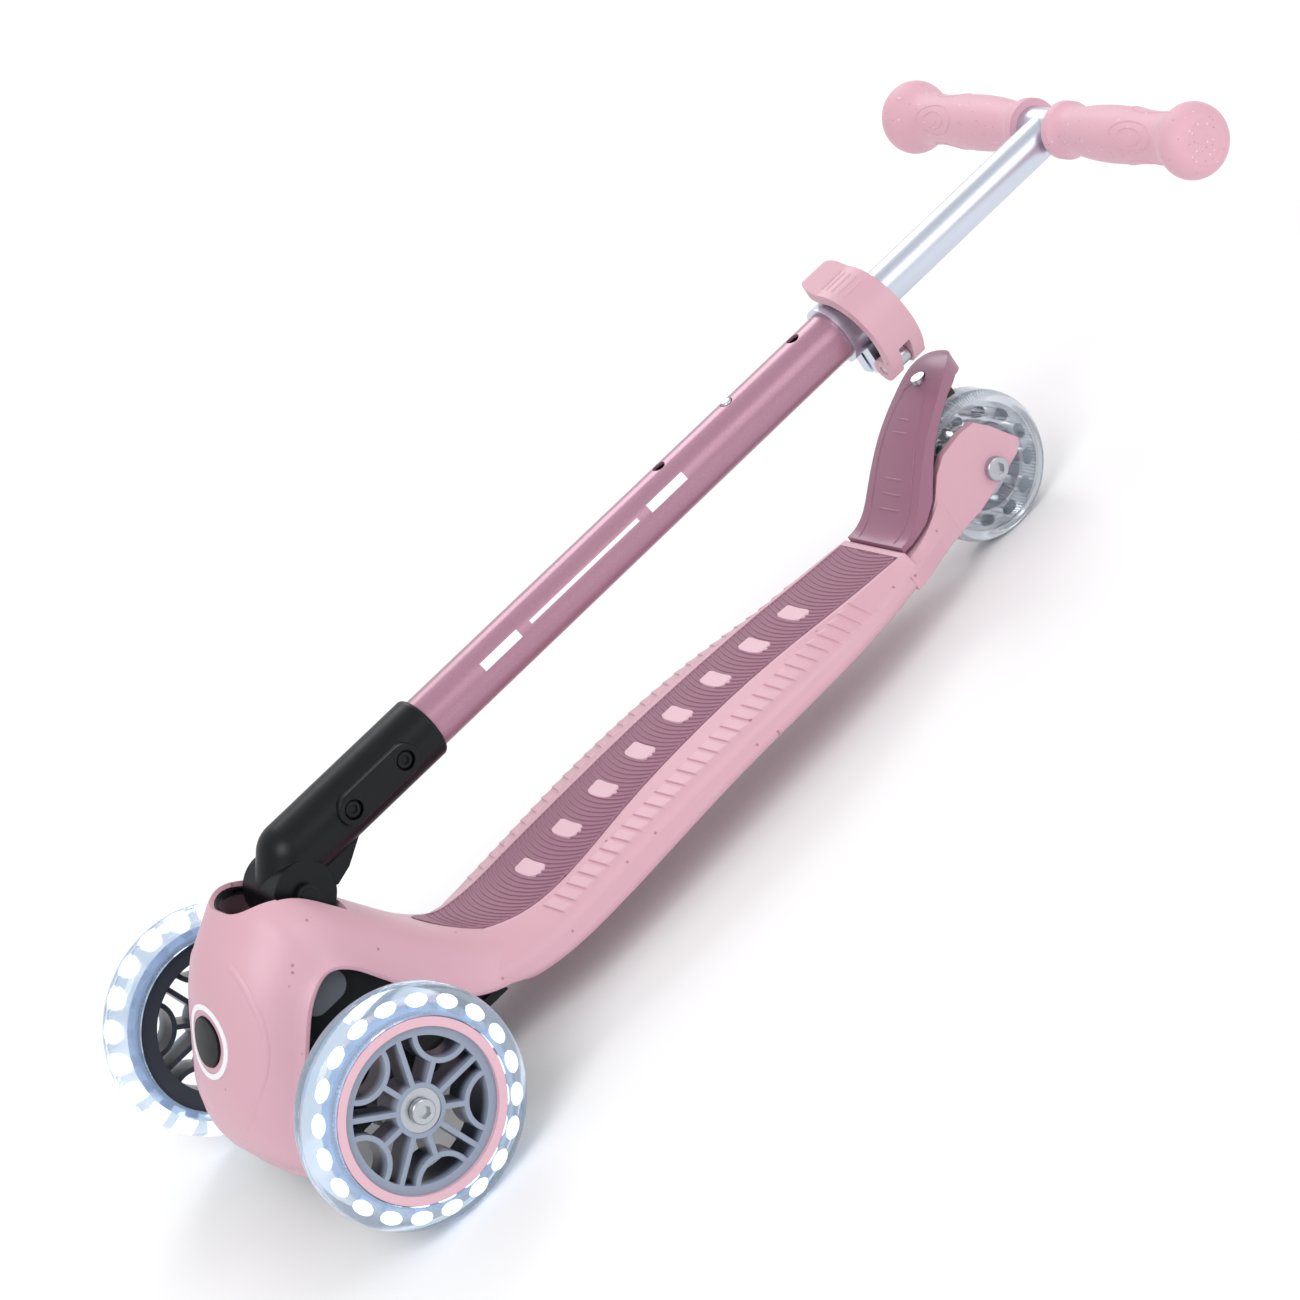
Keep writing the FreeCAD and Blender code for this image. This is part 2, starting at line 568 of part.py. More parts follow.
def front_chassis():
    body = block(-40, 40, -30, 92, 33, 38)
    for side in (-1, 1):
        wall = [(edge_y, edge_z + 4) for _, _, edge_y, edge_z, _ in hood_rows[3:-1]]
        body = body.fuse(side_plate(wall + [(92, 34), (-28, 34)], *sorted((side * 34, side * 38))))
        for z_from, z_to in ((45, 50.5), (70.5, 76)):
            body = body.fuse(block(*sorted((side * 30, side * s.kingpin_x)), -9, 9, z_from, z_to))
            body = body.fuse(Part.makeCylinder(9, z_to - z_from, Vec(side * s.kingpin_x, 0, z_from)))
        body = body.cut(Part.makeCylinder(s.kingpin_r, 50, Vec(side * s.kingpin_x, 0, 40)))
    for y_from, y_to in ((6, 14), (54, 61)):
        body = body.fuse(block(-12, 12, y_from, y_to, 36, s.lean_axis_z))
        body = body.fuse(Part.makeCylinder(9, y_to - y_from, Vec(0, y_from, s.lean_axis_z), along_y))
    body = body.cut(rod(s.lean_shaft_r, (0, 0, s.lean_axis_z), (0, 70, s.lean_axis_z)))
    body = body.fuse(block(22.6, 25, 6, 26, 92, 114)).fuse(block(22.6, 36, 6, 26, 90, 94))
    post = block(-14, 14, -20, -10, 36, 104)
    body = body.fuse(post.cut(lock_cylinder(9, lock_spring_depth, 20)))
    body = body.cut(fold_button_prism(s.button_gap, 25.1, 60))
    body = body.cut(block(-45, 45, 22, 34, 44.5, 51.5))
    for x in (-28, 28):
        for y in (-18, 76):
            body = body.cut(rod(2.5, (x, y, 30), (x, y, 40))).cut(rod(4.7, (x, y, 30), (x, y, 35.9)))
    return body


def fold_button_prism(grow, x_from, x_to):
    long_r = s.fold_button_high / 2 + grow
    half = (s.fold_button_long - s.fold_button_high) / 2
    middle = block(x_from, x_to, 16 - half, 16 + half, 104 - long_r, 104 + long_r)
    for y in (16 - half, 16 + half):
        middle = middle.fuse(rod(long_r, (x_from, y, 104), (x_to, y, 104)))
    return middle.removeSplitter()


keep_shape(front_chassis(), "front_chassis")
keep_shape(fold_button_prism(0, 30, 43).cut(rod(6, (30, 16, 104), (39, 16, 104))), "fold_button")
keep_shape(rod(5.6, (25, 16, 104), (35, 16, 104)).cut(rod(4.4, (25, 16, 104), (35, 16, 104))),
           "fold_button_spring")

screws = []
for x in (-28, 28):
    for y in (-18, 76):
        screws.append(rod(2.5, (x, y, 35.9), (x, y, 44)).fuse(rod(4.4, (x, y, 33.4), (x, y, 35.9))))
keep_shape(Part.makeCompound(screws), "chassis_screws")

keep(cylinder("lean_shaft_r", "58", (0, 4, s.lean_axis_z), along_y), "lean_shaft")
keep(group(*[cylinder("kingpin_r", "34", (side * s.kingpin_x, 0, 43.5)) for side in (-1, 1)]),
     "kingpins")


def steering_yoke():
    inner = s.boot_r - 0.2 + s.piece_gap
    outer = inner + s.yoke_ear
    ear_top_z = s.fold_z
    plate_top = s.fold_z - s.boot_r - 1.4
    yoke = block(-12, 12, 20, 52, s.lean_axis_z - 10, s.lean_axis_z + 10)
    yoke = yoke.fuse(block(-outer, outer, s.fold_y - 8, s.fold_y + 3, s.lean_axis_z + 7, plate_top))
    for side in (-1, 1):
        ear_x = sorted((side * inner, side * outer))
        yoke = yoke.fuse(block(*ear_x, s.fold_y - s.yoke_ear_r, s.fold_y + s.yoke_ear_r,
                               s.lean_axis_z + 7, ear_top_z))
        yoke = yoke.fuse(rod(s.yoke_ear_r, (ear_x[0], s.fold_y, s.fold_z), (ear_x[1], s.fold_y, s.fold_z)))
    yoke = yoke.cut(rod(s.lean_shaft_r + 2, (0, 10, s.lean_axis_z), (0, 60, s.lean_axis_z)))
    return yoke.cut(rod(s.fold_pin_r, (-30, s.fold_y, s.fold_z), (30, s.fold_y, s.fold_z)))


keep_shape(steering_yoke(), "steering_yoke")
bushes = []
for y in (20, 42):
    bush = rod(s.lean_shaft_r + 2, (0, y, s.lean_axis_z), (0, y + 10, s.lean_axis_z))
    bushes.append(bush.cut(rod(s.lean_shaft_r + s.running_gap, (0, y, s.lean_axis_z),
                               (0, y + 10, s.lean_axis_z))))
keep_shape(Part.makeCompound(bushes), "yoke_bushes")
pin_reach = s.boot_r + s.piece_gap + s.yoke_ear
keep(cylinder("fold_pin_r", "2 * boot_r + 2 * piece_gap + 2 * yoke_ear",
              (-pin_reach, s.fold_y, s.fold_z), along_x), "fold_pin")


def spring_turns(turn_r, wire_r, at, axis, count):
    """A close-wound spring drawn as rings, one pitch apart along its axis from at."""
    pitch = 2.2 * wire_r
    return Part.makeCompound([Part.makeTorus(turn_r, wire_r, Vec(*at) + axis * (i * pitch), axis)
                              for i in range(count)])


keep_shape(spring_turns(7.5, 0.7, (0, 15, s.lean_axis_z), along_y, 3), "centring_spring")


def knuckle(side, word):
    barrel = Part.makeCylinder(s.knuckle_r, 19, Vec(side * s.kingpin_x, 0, 51))
    stub_end = front_x - s.hub_depth / 2 - 1
    stub = rod(8, (side * s.kingpin_x, 0, s.front_wheel_r), (side * stub_end, 0, s.front_wheel_r))
    body = barrel.fuse(stub)
    arm = block(side * s.kingpin_x - 4, side * s.kingpin_x + 4, 0, s.steer_arm, 51, 56)
    body = body.fuse(arm).fuse(Part.makeCylinder(5, 5, Vec(side * s.kingpin_x, s.steer_arm, 51)))
    body = body.fuse(Part.makeCylinder(s.tie_pin_r, 6, Vec(side * s.kingpin_x, s.steer_arm, 46)))
    body = body.cut(Part.makeCylinder(s.kingpin_r + s.running_gap, 30, Vec(side * s.kingpin_x, 0, 45)))
    bolt_start = s.kingpin_x + s.kingpin_r + 2
    body = body.cut(rod(s.axle_r, (side * bolt_start, 0, s.front_wheel_r), (side * 130, 0, s.front_wheel_r)))
    keep_shape(body, "knuckle_" + word)
    outer_face = front_x + s.hub_depth / 2 - 0.5 + s.piece_gap
    axle = hex_socket_bolt(s.axle_r, outer_face - bolt_start - 0.3, s.axle_head_r, 3.6)
    if side < 0:
        axle.rotate(Vec(), along_z, 180)
    axle.translate(Vec(side * outer_face, 0, s.front_wheel_r))
    keep_shape(axle, "front_axle_" + word)
    length = s.hub_depth - 2 * (s.bearing_width + 0.5) - 2 * s.piece_gap
    start = side * front_x - length / 2
    spindle = rod(7, (start, 0, s.front_wheel_r), (start + length, 0, s.front_wheel_r))
    spindle = spindle.cut(rod(s.axle_r, (start, 0, s.front_wheel_r), (start + length, 0, s.front_wheel_r)))
    keep_shape(spindle, "magnet_spindle_" + word)


knuckle(1, "left")
knuckle(-1, "right")


def tie_rod():
    x, y = s.kingpin_x, s.steer_arm
    slot_half, eye_r = 1.2, 7.5
    bar = block(-x, x, y - 4, y + 4, 46, 50)
    for side in (-1, 1):
        bar = bar.fuse(Part.makeCylinder(eye_r, 4, Vec(side * x, y, 46)))
    for side in (-1, 1):
        hole_r = s.tie_pin_r + s.piece_gap
        for shift in (-slot_half, slot_half):
            bar = bar.cut(Part.makeCylinder(hole_r, 6, Vec(side * x, y + shift, 45)))
        bar = bar.cut(block(side * x - hole_r, side * x + hole_r, y - slot_half, y + slot_half, 45, 51))
    return bar


keep_shape(tie_rod(), "tie_rod")


# ---- T-bar

def boot():
    pad_r, pad_x = 8.5, s.boot_r + 1.4
    angle = math.radians(s.boot_angle)
    body = rod(s.boot_r, (-s.boot_r + 0.2, s.fold_y, s.fold_z), (s.boot_r - 0.2, s.fold_y, s.fold_z))
    body = body.fuse(rod(s.boot_r, fold_point, boot_elbow))
    body = body.fuse(Part.makeSphere(s.boot_r, boot_elbow))
    body = body.fuse(rod(s.boot_r, boot_elbow, (0, s.boot_end_y, s.bar_axis_z)))
    body = body.common(block(-s.boot_r + 0.2, s.boot_r - 0.2, 0, 200, 90, 200))
    fin = side_plate([(56, 127), (64, 123.5), (74, 126.5), (92, 138), (92, 145), (56, 138)], -8, 8)
    body = body.makeFillet(2.5, [edge for edge in body.Edges if edge.BoundBox.YMin > s.boot_end_y - 0.1])
    pad = block(10, pad_x, 90, 126, 152 - pad_r, 152 + pad_r)
    pad = pad.fuse([rod(pad_r, (10, y, 152), (pad_x, y, 152)) for y in (90, 126)]).removeSplitter()
    pad = pad.makeFillet(1.2, [edge for edge in pad.Edges if edge.BoundBox.XMin > pad_x - 0.1])
    body = body.fuse(fin).fuse(pad)
    bore_start = 78
    body = body.cut(rod(s.lower_tube_r, (0, bore_start, s.bar_axis_z), (0, 200, s.bar_axis_z)))
    for y in (90, 126):
        body = body.cut(rod(5.2, (s.lower_tube_r + 1.2, y, 152), (30, y, 152)))
        body = body.cut(rod(2.5, (0, y, 152), (30, y, 152)))
    hole = rod(s.fold_pin_r + s.running_gap, (-30, s.fold_y, s.fold_z), (30, s.fold_y, s.fold_z))
    return body.cut(hole)


keep_shape(boot(), "boot")
screws = []
for y in (90, 126):
    screw = hex_socket_bolt(2.5, 8, 4.4, 2.2)
    screw.translate(Vec(s.lower_tube_r + 1.2, y, 152))
    screws.append(screw)
screw_shape = Part.makeCompound(screws)
keep_shape(screw_shape, "boot_screws")

lower = rod(s.lower_tube_r, (0, 78, s.bar_axis_z), (0, s.lower_tube_end_y, s.bar_axis_z))
lower = lower.cut(rod(s.lower_tube_bore_r, (0, 78, s.bar_axis_z), (0, 500, s.bar_axis_z)))
for step in (-1, 0, 1):
    y = s.height_hole_y + step * s.height_step
    lower = lower.cut(rod(s.height_hole_r, (0, y, s.bar_axis_z), (0, y, s.bar_axis_z + 30)))
for y in (90, 126):
    lower = lower.cut(rod(2.5, (0, y, 152), (30, y, 152)))
keep_shape(lower, "lower_tube")

bush = rod(s.lower_tube_bore_r, (0, 436, s.bar_axis_z), (0, s.lower_tube_end_y, s.bar_axis_z))
bush = bush.fuse(rod(s.lower_tube_r, (0, s.lower_tube_end_y, s.bar_axis_z),
                     (0, s.lower_tube_end_y + 2, s.bar_axis_z)))
bush = bush.cut(rod(s.upper_tube_r + s.running_gap, (0, 430, s.bar_axis_z), (0, 470, s.bar_axis_z)))
bush = bush.cut(rod(s.height_hole_r, (0, s.height_hole_y + s.height_step, s.bar_axis_z),
                    (0, s.height_hole_y + s.height_step, s.bar_axis_z + 30)))
keep_shape(bush, "tube_bush")


def clamp_collar():
    z = s.bar_axis_z
    collar = rod(s.collar_r, (0, s.collar_start_y, z), (0, s.collar_end_y, z))
    ears = block(-9, 9, s.lever_y - 7, s.lever_y + 7, s.lever_pivot_z - 8, z - s.collar_r + 5)
    collar = collar.fuse(ears)
    seat_r = s.lower_tube_r + s.press_gap
    collar = collar.cut(rod(seat_r, (0, s.collar_start_y, z), (0, s.lower_tube_end_y + 2, z)))
    collar = collar.cut(rod(s.upper_tube_r + s.piece_gap, (0, 450, z), (0, 480, z)))
    collar = collar.cut(block(-1.5, 1.5, s.collar_start_y, s.collar_end_y, z - 40, z))
    return collar.cut(rod(2.5, (-20, s.lever_y, s.lever_pivot_z), (20, s.lever_y, s.lever_pivot_z)))


keep_shape(clamp_collar(), "clamp_collar")


def clamp_bolt():
    x, y, z = s.lever_pivot_x, s.lever_y, s.lever_pivot_z
    bolt = rod(2.5, (-12, y, z), (x - 3, y, z)).fuse(rod(5, (x, y - 3.5, z), (x, y + 3.5, z)))
    return bolt.cut(rod(s.lever_pin_r, (x, y - 20, z), (x, y + 20, z)))


keep_shape(clamp_bolt(), "clamp_bolt")
keep_shape(hex_nut(2.5, 4.5, 4, (-9, s.lever_y, s.lever_pivot_z), Vec(-1, 0, 0)), "clamp_nut")
keep_shape(rod(5.5, (9, s.lever_y, s.lever_pivot_z), (14.6, s.lever_y, s.lever_pivot_z)).cut(
    rod(2.6, (8, s.lever_y, s.lever_pivot_z), (16, s.lever_y, s.lever_pivot_z))), "clamp_washer")
keep(cylinder("lever_pin_r", "lever_width - 1",
              (s.lever_pivot_x, s.lever_y - s.lever_width / 2 + 0.5, s.lever_pivot_z), along_y), "clamp_pin")


def clamp_lever():
    """A C-shaped quick-release lever: an arc band, a flared free end and two prongs."""
    x, y, z = s.lever_centre_x, s.lever_y, s.lever_centre_z
    half = s.lever_width / 2
    ring = rod(s.lever_outer_r, (x, y - half, z), (x, y + half, z))
    ring = ring.cut(rod(s.lever_inner_r, (x, y - half, z), (x, y + half, z)))
    reach = 60
    low, high = math.radians(-40), math.radians(98)
    wedge_points = [Vec(x, y - half, z)]
    for i in range(5):
        angle = low + (high - low) * i / 4
        wedge_points.append(Vec(x + reach * math.cos(angle), y - half, z + reach * math.sin(angle)))
    wedge = Part.Face(Part.makePolygon(wedge_points + wedge_points[:1])).extrude(Vec(0, 2 * half, 0))
    band = ring.common(wedge)
    mid_r = (s.lever_outer_r + s.lever_inner_r) / 2
    thick = s.lever_outer_r - s.lever_inner_r
    start = Vec(x + mid_r * math.cos(high), 0, z + mid_r * math.sin(high))
    end = start + Vec(-11, 0, 4.5)
    across = (end - start).cross(along_y).normalize() * (thick / 2)
    tail = [start - across + Vec(2.5, 0, 0), start + across + Vec(2.5, 0, 0), end + across, end - across]
    for point in tail:
        point.y = y - half
    band = band.fuse(Part.Face(Part.makePolygon(tail + tail[:1])).extrude(Vec(0, 2 * half, 0)))
    band = band.fuse(rod(thick / 2, (end.x, y - half, end.z), (end.x, y + half, end.z)))
    rounding = rod(half, (end.x + half - 4, y, z), (end.x + half - 4, y, z + reach))
    rounding = rounding.fuse(block(end.x + half - 4, reach, y - half, y + half, z - reach, z + reach))
    band = band.common(rounding)
    pivot = Vec(s.lever_pivot_x, y - half, s.lever_pivot_z)
    band = band.fuse(Part.makeCylinder(6.6, 2 * half, pivot, along_y))
    band = band.cut(Part.makeCylinder(s.lever_pin_r + s.running_gap, 2 * half, pivot, along_y))
    return band.cut(block(s.lever_pivot_x - 12, s.lever_pivot_x + 16, y - 4, y + 4,
                          s.lever_pivot_z - 12, s.lever_pivot_z + 9))


keep_shape(clamp_lever(), "clamp_lever")

upper_start = 362
cross_end = s.grip_end_x - 5
upper = rod(s.upper_tube_r, (0, upper_start, s.bar_axis_z), (0, s.bar_y, s.bar_axis_z))
upper = upper.cut(rod(s.upper_tube_bore_r, (0, upper_start, s.bar_axis_z), (0, s.bar_y, s.bar_axis_z)))
upper = upper.cut(rod(s.cross_tube_r, (-30, s.bar_y, s.bar_axis_z), (30, s.bar_y, s.bar_axis_z)))
for y in (s.height_hole_y, s.height_hole_y + s.height_step):
    upper = upper.cut(rod(5.3, (0, y, s.bar_axis_z), (0, y, s.bar_axis_z + 30)))
keep_shape(upper, "upper_tube")
cross = rod(s.cross_tube_r, (-cross_end, s.bar_y, s.bar_axis_z), (cross_end, s.bar_y, s.bar_axis_z))
keep_shape(cross.cut(rod(s.cross_tube_r - 1.6, (-150, s.bar_y, s.bar_axis_z),
                         (150, s.bar_y, s.bar_axis_z))), "cross_tube")


def snap_button():
    y, z = s.height_hole_y, s.bar_axis_z
    flange = rod(4.2, (0, y, z + s.upper_tube_r + 0.3), (0, y, z + s.lower_tube_bore_r - 1))
    button = flange.fuse(rod(s.height_hole_r - 0.35, (0, y, z + s.upper_tube_r + 0.3),
                             (0, y, z + s.lower_tube_r + 0.9)))
    top = [e for e in button.Edges if e.BoundBox.ZMin > z + s.lower_tube_r + 0.85]
    return button.makeFillet(1.4, top)


keep_shape(snap_button(), "snap_button")


def grip(side, word):
    start, end = s.grip_start_x, s.grip_end_x
    bulb_x = end - 13.8
    skin = [(start + 5, 15.3), (start + 9, 13.3), (start + 22, 13.4), ((start + bulb_x) / 2, 14.9),
            (bulb_x - 22, 13.3), (bulb_x - 11, 14.6), (bulb_x, s.grip_bulb_r),
            (end - 5, 18), (end, 11.5)]
    curve = Part.BSplineCurve()
    curve.interpolate([Vec(x, 0, r) for x, r in skin])
    line = [Vec(end, 0, 11.5), Vec(end, 0, 0), Vec(cross_end, 0, 0), Vec(cross_end, 0, s.cross_tube_r),
            Vec(start, 0, s.cross_tube_r), Vec(start, 0, 15.3), Vec(start + 5, 0, 15.3)]
    face = Part.Face(Part.Wire([curve.toShape()] + Part.makePolygon(line).Edges))
    body = face.revolve(Vec(), along_x, 360)
    if side < 0:
        body.rotate(Vec(), along_z, 180)
    body.translate(Vec(0, s.bar_y, s.bar_axis_z))
    keep_shape(body, "grip_" + word)


grip(1, "left")
grip(-1, "right")


# ---- brake

# side profiles of the fender's edge, and how much higher it is crowned down its middle
brake_top = [(405, 47.2), (417, 49.8), (429, 59.5), (440, 69.5), (451, 78), (462, 84.8),
             (472, 90), (484, 95), (493, 95.8), (500, 93)]
brake_low = [(500, 88), (490, 91), (478, 88.5), (466, 82.5), (455, 75), (448, 68), (440, 59),
             (435, 53), (425, 46.8), (418, 45), (411, 43.8), (405, 43.8)]
brake_crown = 5
brake_screw_y, brake_screw_seat, brake_screw_head_r = 477, 96.4, 4


def brake_plan(inset):
    sides = [(400, 25), (420, 24.5), (440, 23), (460, 20.5), (478, 17.5), (490, 12.5)]
    right = [Vec(x - inset, y, 20) for y, x in sides]
    left = [Vec(-p.x, p.y, 20) for p in reversed(right)]
    curve = Part.BSplineCurve()
    curve.interpolate(right + [Vec(0, 499 - inset, 20)] + left)
    edge = Part.makeLine(left[-1], right[0])
    return Part.Face(Part.Wire([curve.toShape(), edge])).extrude(Vec(0, 0, 100))


def crowned_fender(drop, low):
    """The fender's full solid above the (y, z) line low, its top lowered by drop."""
    wires = []
    for share in (-1, -0.7, -0.35, 0.35, 0.7, 1):
        x = share * 26
        top = []
        for y, z in brake_top:
            crown = brake_crown * (1 - share * share) * min(1, (y - 405) / 45)
            top.append(Vec(x, y + 0.6 * drop, z + crown - 0.8 * drop))
        curve = Part.BSplineCurve()
        curve.interpolate(top)
        rest = Part.makePolygon([top[-1]] + [Vec(x, y, z) for y, z in low] + [top[0]])
        wires.append(Part.Wire([curve.toShape()] + rest.Edges))
    return Part.makeLoft(wires, True, False)


def brake_fender():
    full = crowned_fender(0, brake_low).common(brake_plan(0))
    inner = crowned_fender(s.brake_wall, [(510, 20), (390, 20), (390, 40)])
    fender = full.cut(inner.common(brake_plan(s.brake_wall)))
    for side in (-1, 1):
        ear = side_plate([(405.4, 46), (405.4, 34), (411, 31.5), (416.6, 34), (421, 51)],
                         *sorted((side * 11.8, side * 15)))
        fender = fender.fuse(ear)
    fender = fender.cut(rod(s.brake_pin_r + s.running_gap, (-40, s.brake_pin_y, s.brake_pin_z),
                            (40, s.brake_pin_y, s.brake_pin_z)))
    fender = fender.cut(rod(brake_screw_head_r + s.piece_gap, (0, brake_screw_y, brake_screw_seat),
                            (0, brake_screw_y, 110)))
    return fender.cut(rod(2, (0, brake_screw_y, 80), (0, brake_screw_y, 110)))


keep_shape(brake_fender(), "brake_fender")
screw = rod(1.9, (0, brake_screw_y, 86), (0, brake_screw_y, 98))
screw = screw.fuse(rod(brake_screw_head_r, (0, brake_screw_y, brake_screw_seat), (0, brake_screw_y, 99.2)))
keep_shape(screw, "brake_screw")
pad_r = s.rear_wheel_r + 2.6
pad = block(-9, 9, 462, 486, 80, 97)
pad = pad.cut(Part.makeCylinder(pad_r, 30, Vec(-15, s.rear_axle_y, s.rear_wheel_r), along_x))
pad = pad.common(crowned_fender(s.brake_wall, [(510, 20), (390, 20), (390, 40)]))
pad = pad.cut(rod(2, (0, brake_screw_y, 80), (0, brake_screw_y, 110)))
keep_shape(pad, "brake_pad")
keep_shape(rod(s.brake_pin_r, (-20, s.brake_pin_y, s.brake_pin_z), (20, s.brake_pin_y, s.brake_pin_z)),
           "brake_pin")
coil = spring_turns(3.6, 0.7, (-4.6, s.brake_pin_y, s.brake_pin_z), along_x, 7)
keep_shape(coil, "brake_spring")


# ---- check and write

doc.recompute()
faults = [obj.Label for obj in doc.Objects if {"Invalid", "Error"} & set(obj.State)]
faults += [obj.Label for obj in kept if obj.Shape.isNull() or not obj.Shape.isValid()]
if faults:
    raise ValueError("failed objects: " + ", ".join(faults))
os.makedirs("parts", exist_ok=True)
for obj in kept:
    obj.Shape.exportStep(os.path.join("parts", obj.Label + ".step"))
print(len(kept), "sub-parts written")
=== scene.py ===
import math
import bpy
import bmesh
from mathutils import Matrix, Vector
from mathutils.bvhtree import BVHTree


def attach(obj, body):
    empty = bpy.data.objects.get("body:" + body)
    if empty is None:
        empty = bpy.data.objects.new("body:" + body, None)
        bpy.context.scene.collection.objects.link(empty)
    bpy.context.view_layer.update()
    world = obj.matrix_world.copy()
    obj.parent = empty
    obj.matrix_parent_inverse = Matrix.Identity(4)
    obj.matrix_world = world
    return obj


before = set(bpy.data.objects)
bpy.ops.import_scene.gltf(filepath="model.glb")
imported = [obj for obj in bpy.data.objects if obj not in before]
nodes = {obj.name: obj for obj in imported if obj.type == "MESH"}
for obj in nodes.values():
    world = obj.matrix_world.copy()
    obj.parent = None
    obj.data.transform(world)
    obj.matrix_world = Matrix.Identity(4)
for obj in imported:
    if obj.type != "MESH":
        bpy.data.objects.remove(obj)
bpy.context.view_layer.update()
mm = 0.001
print("frame loaded")


# ---- materials

def linear(hexColour):
    channels = [int(hexColour[i:i + 2], 16) / 255 for i in (1, 3, 5)]
    return tuple(c / 12.92 if c <= 0.04045 else ((c + 0.055) / 1.055) ** 2.4 for c in channels) + (1.0,)


def addNode(tree, kind, settings=None, **links):
    # links are values, or (node, output name) pairs, by input name with _ for spaces
    node = tree.nodes.new(kind)
    for key, value in (settings or {}).items():
        setattr(node, key, value)
    for key, value in links.items():
        which = int(key[5:]) if key.startswith("input") else key.replace("_", " ")
        socket = node.inputs[which]
        if isinstance(value, tuple) and len(value) == 2 and hasattr(value[0], "outputs"):
            tree.links.new(value[0].outputs[value[1]], socket)
        else:
            socket.default_value = value
    return node


def newMaterial(name, colour, **shader):
    material = bpy.data.materials.new(name)
    material.use_nodes = True
    tree = material.node_tree
    tree.nodes.clear()
    output = addNode(tree, "ShaderNodeOutputMaterial")
    principled = addNode(tree, "ShaderNodeBsdfPrincipled", Base_Color=linear(colour), **shader)
    tree.links.new(principled.outputs["BSDF"], output.inputs["Surface"])
    place = addNode(tree, "ShaderNodeTexCoord")
    return material, tree, principled, (place, "Object")


def mixColours(tree, amount, first, second):
    mix = addNode(tree, "ShaderNodeMix", {"data_type": "RGBA"})
    tree.links.new(amount[0].outputs[amount[1]], mix.inputs[0])
    for socket, value in ((mix.inputs[6], first), (mix.inputs[7], second)):
        if isinstance(value, tuple) and hasattr(value[0], "outputs"):
            tree.links.new(value[0].outputs[value[1]], socket)
        else:
            socket.default_value = linear(value)
    return mix


def grainBump(tree, principled, place, grainMm, depthMm, edgeMm=0.0, detail=2.0):
    # fine grain in the normal, over an edge that catches the light
    grain = addNode(tree, "ShaderNodeTexNoise", Vector=place, Scale=1 / (grainMm * mm), Detail=detail)
    bump = addNode(tree, "ShaderNodeBump", Height=(grain, "Fac"), Strength=1.0, Distance=depthMm * mm)
    if edgeMm:
        edge = addNode(tree, "ShaderNodeBevel", {"samples": 4}, Radius=edgeMm * mm)
        tree.links.new(edge.outputs["Normal"], bump.inputs["Normal"])
    tree.links.new(bump.outputs["Normal"], principled.inputs["Normal"])
    return bump


def varyRoughness(tree, principled, place, patchMm, low, high):
    cloud = addNode(tree, "ShaderNodeTexNoise", Vector=place, Scale=1 / (patchMm * mm), Detail=4.0)
    spread = addNode(tree, "ShaderNodeMapRange", Value=(cloud, "Fac"), To_Min=low, To_Max=high)
    tree.links.new(spread.outputs["Result"], principled.inputs["Roughness"])


def speckled(tree, place, base, speck, cellMm, share):
    # sparse round specks of recycled granules in the melt
    cells = addNode(tree, "ShaderNodeTexVoronoi", {"feature": "F1"}, Vector=place, Scale=1 / (cellMm * mm))
    near = addNode(tree, "ShaderNodeMapRange", Value=(cells, "Distance"), From_Min=0.1, From_Max=0.18,
                   To_Min=1.0, To_Max=0.0)
    split = addNode(tree, "ShaderNodeSeparateColor", Color=(cells, "Color"))
    chosen = addNode(tree, "ShaderNodeMath", {"operation": "LESS_THAN"}, input0=(split, "Red"), input1=share)
    both = addNode(tree, "ShaderNodeMath", {"operation": "MULTIPLY"}, input0=(near, "Result"),
                   input1=(chosen, "Value"))
    return mixColours(tree, (both, "Value"), base, speck)


def mouldedPolypropylene(name, colour, speck, edgeMm=0.5):
    # satin moulded polypropylene: one colour, soft spark-eroded grain, a few darker granules
    material, tree, principled, place = newMaterial(name, colour, IOR=1.49)
    dots = speckled(tree, place, colour, speck, 6.0, 0.10)
    tree.links.new(dots.outputs[2], principled.inputs["Base Color"])
    varyRoughness(tree, principled, place, 9, 0.36, 0.46)
    grainBump(tree, principled, place, 0.45, 0.012, edgeMm)
    return material


def glassFilledNylon(name, colour, roughness=0.48, edgeMm=0.4, shine=1.0):
    # black glass-filled nylon: matt, with a slightly open, pebbled skin
    material, tree, principled, place = newMaterial(name, colour, IOR=1.53,
                                                    Specular_IOR_Level=0.5 * shine)
    varyRoughness(tree, principled, place, 6, roughness - 0.06, roughness + 0.06)
    grainBump(tree, principled, place, 0.6, 0.03, edgeMm)
    return material


def satinPlastic(name, colour, roughness=0.34, coat=0.0, edgeMm=0.4):
    # polished-tool plastic with faint flow marks
    material, tree, principled, place = newMaterial(name, colour, IOR=1.5, Coat_Weight=coat,
                                                    Coat_Roughness=0.15)
    varyRoughness(tree, principled, place, 12, roughness - 0.05, roughness + 0.05)
    grainBump(tree, principled, place, 1.2, 0.01, edgeMm)
    return material


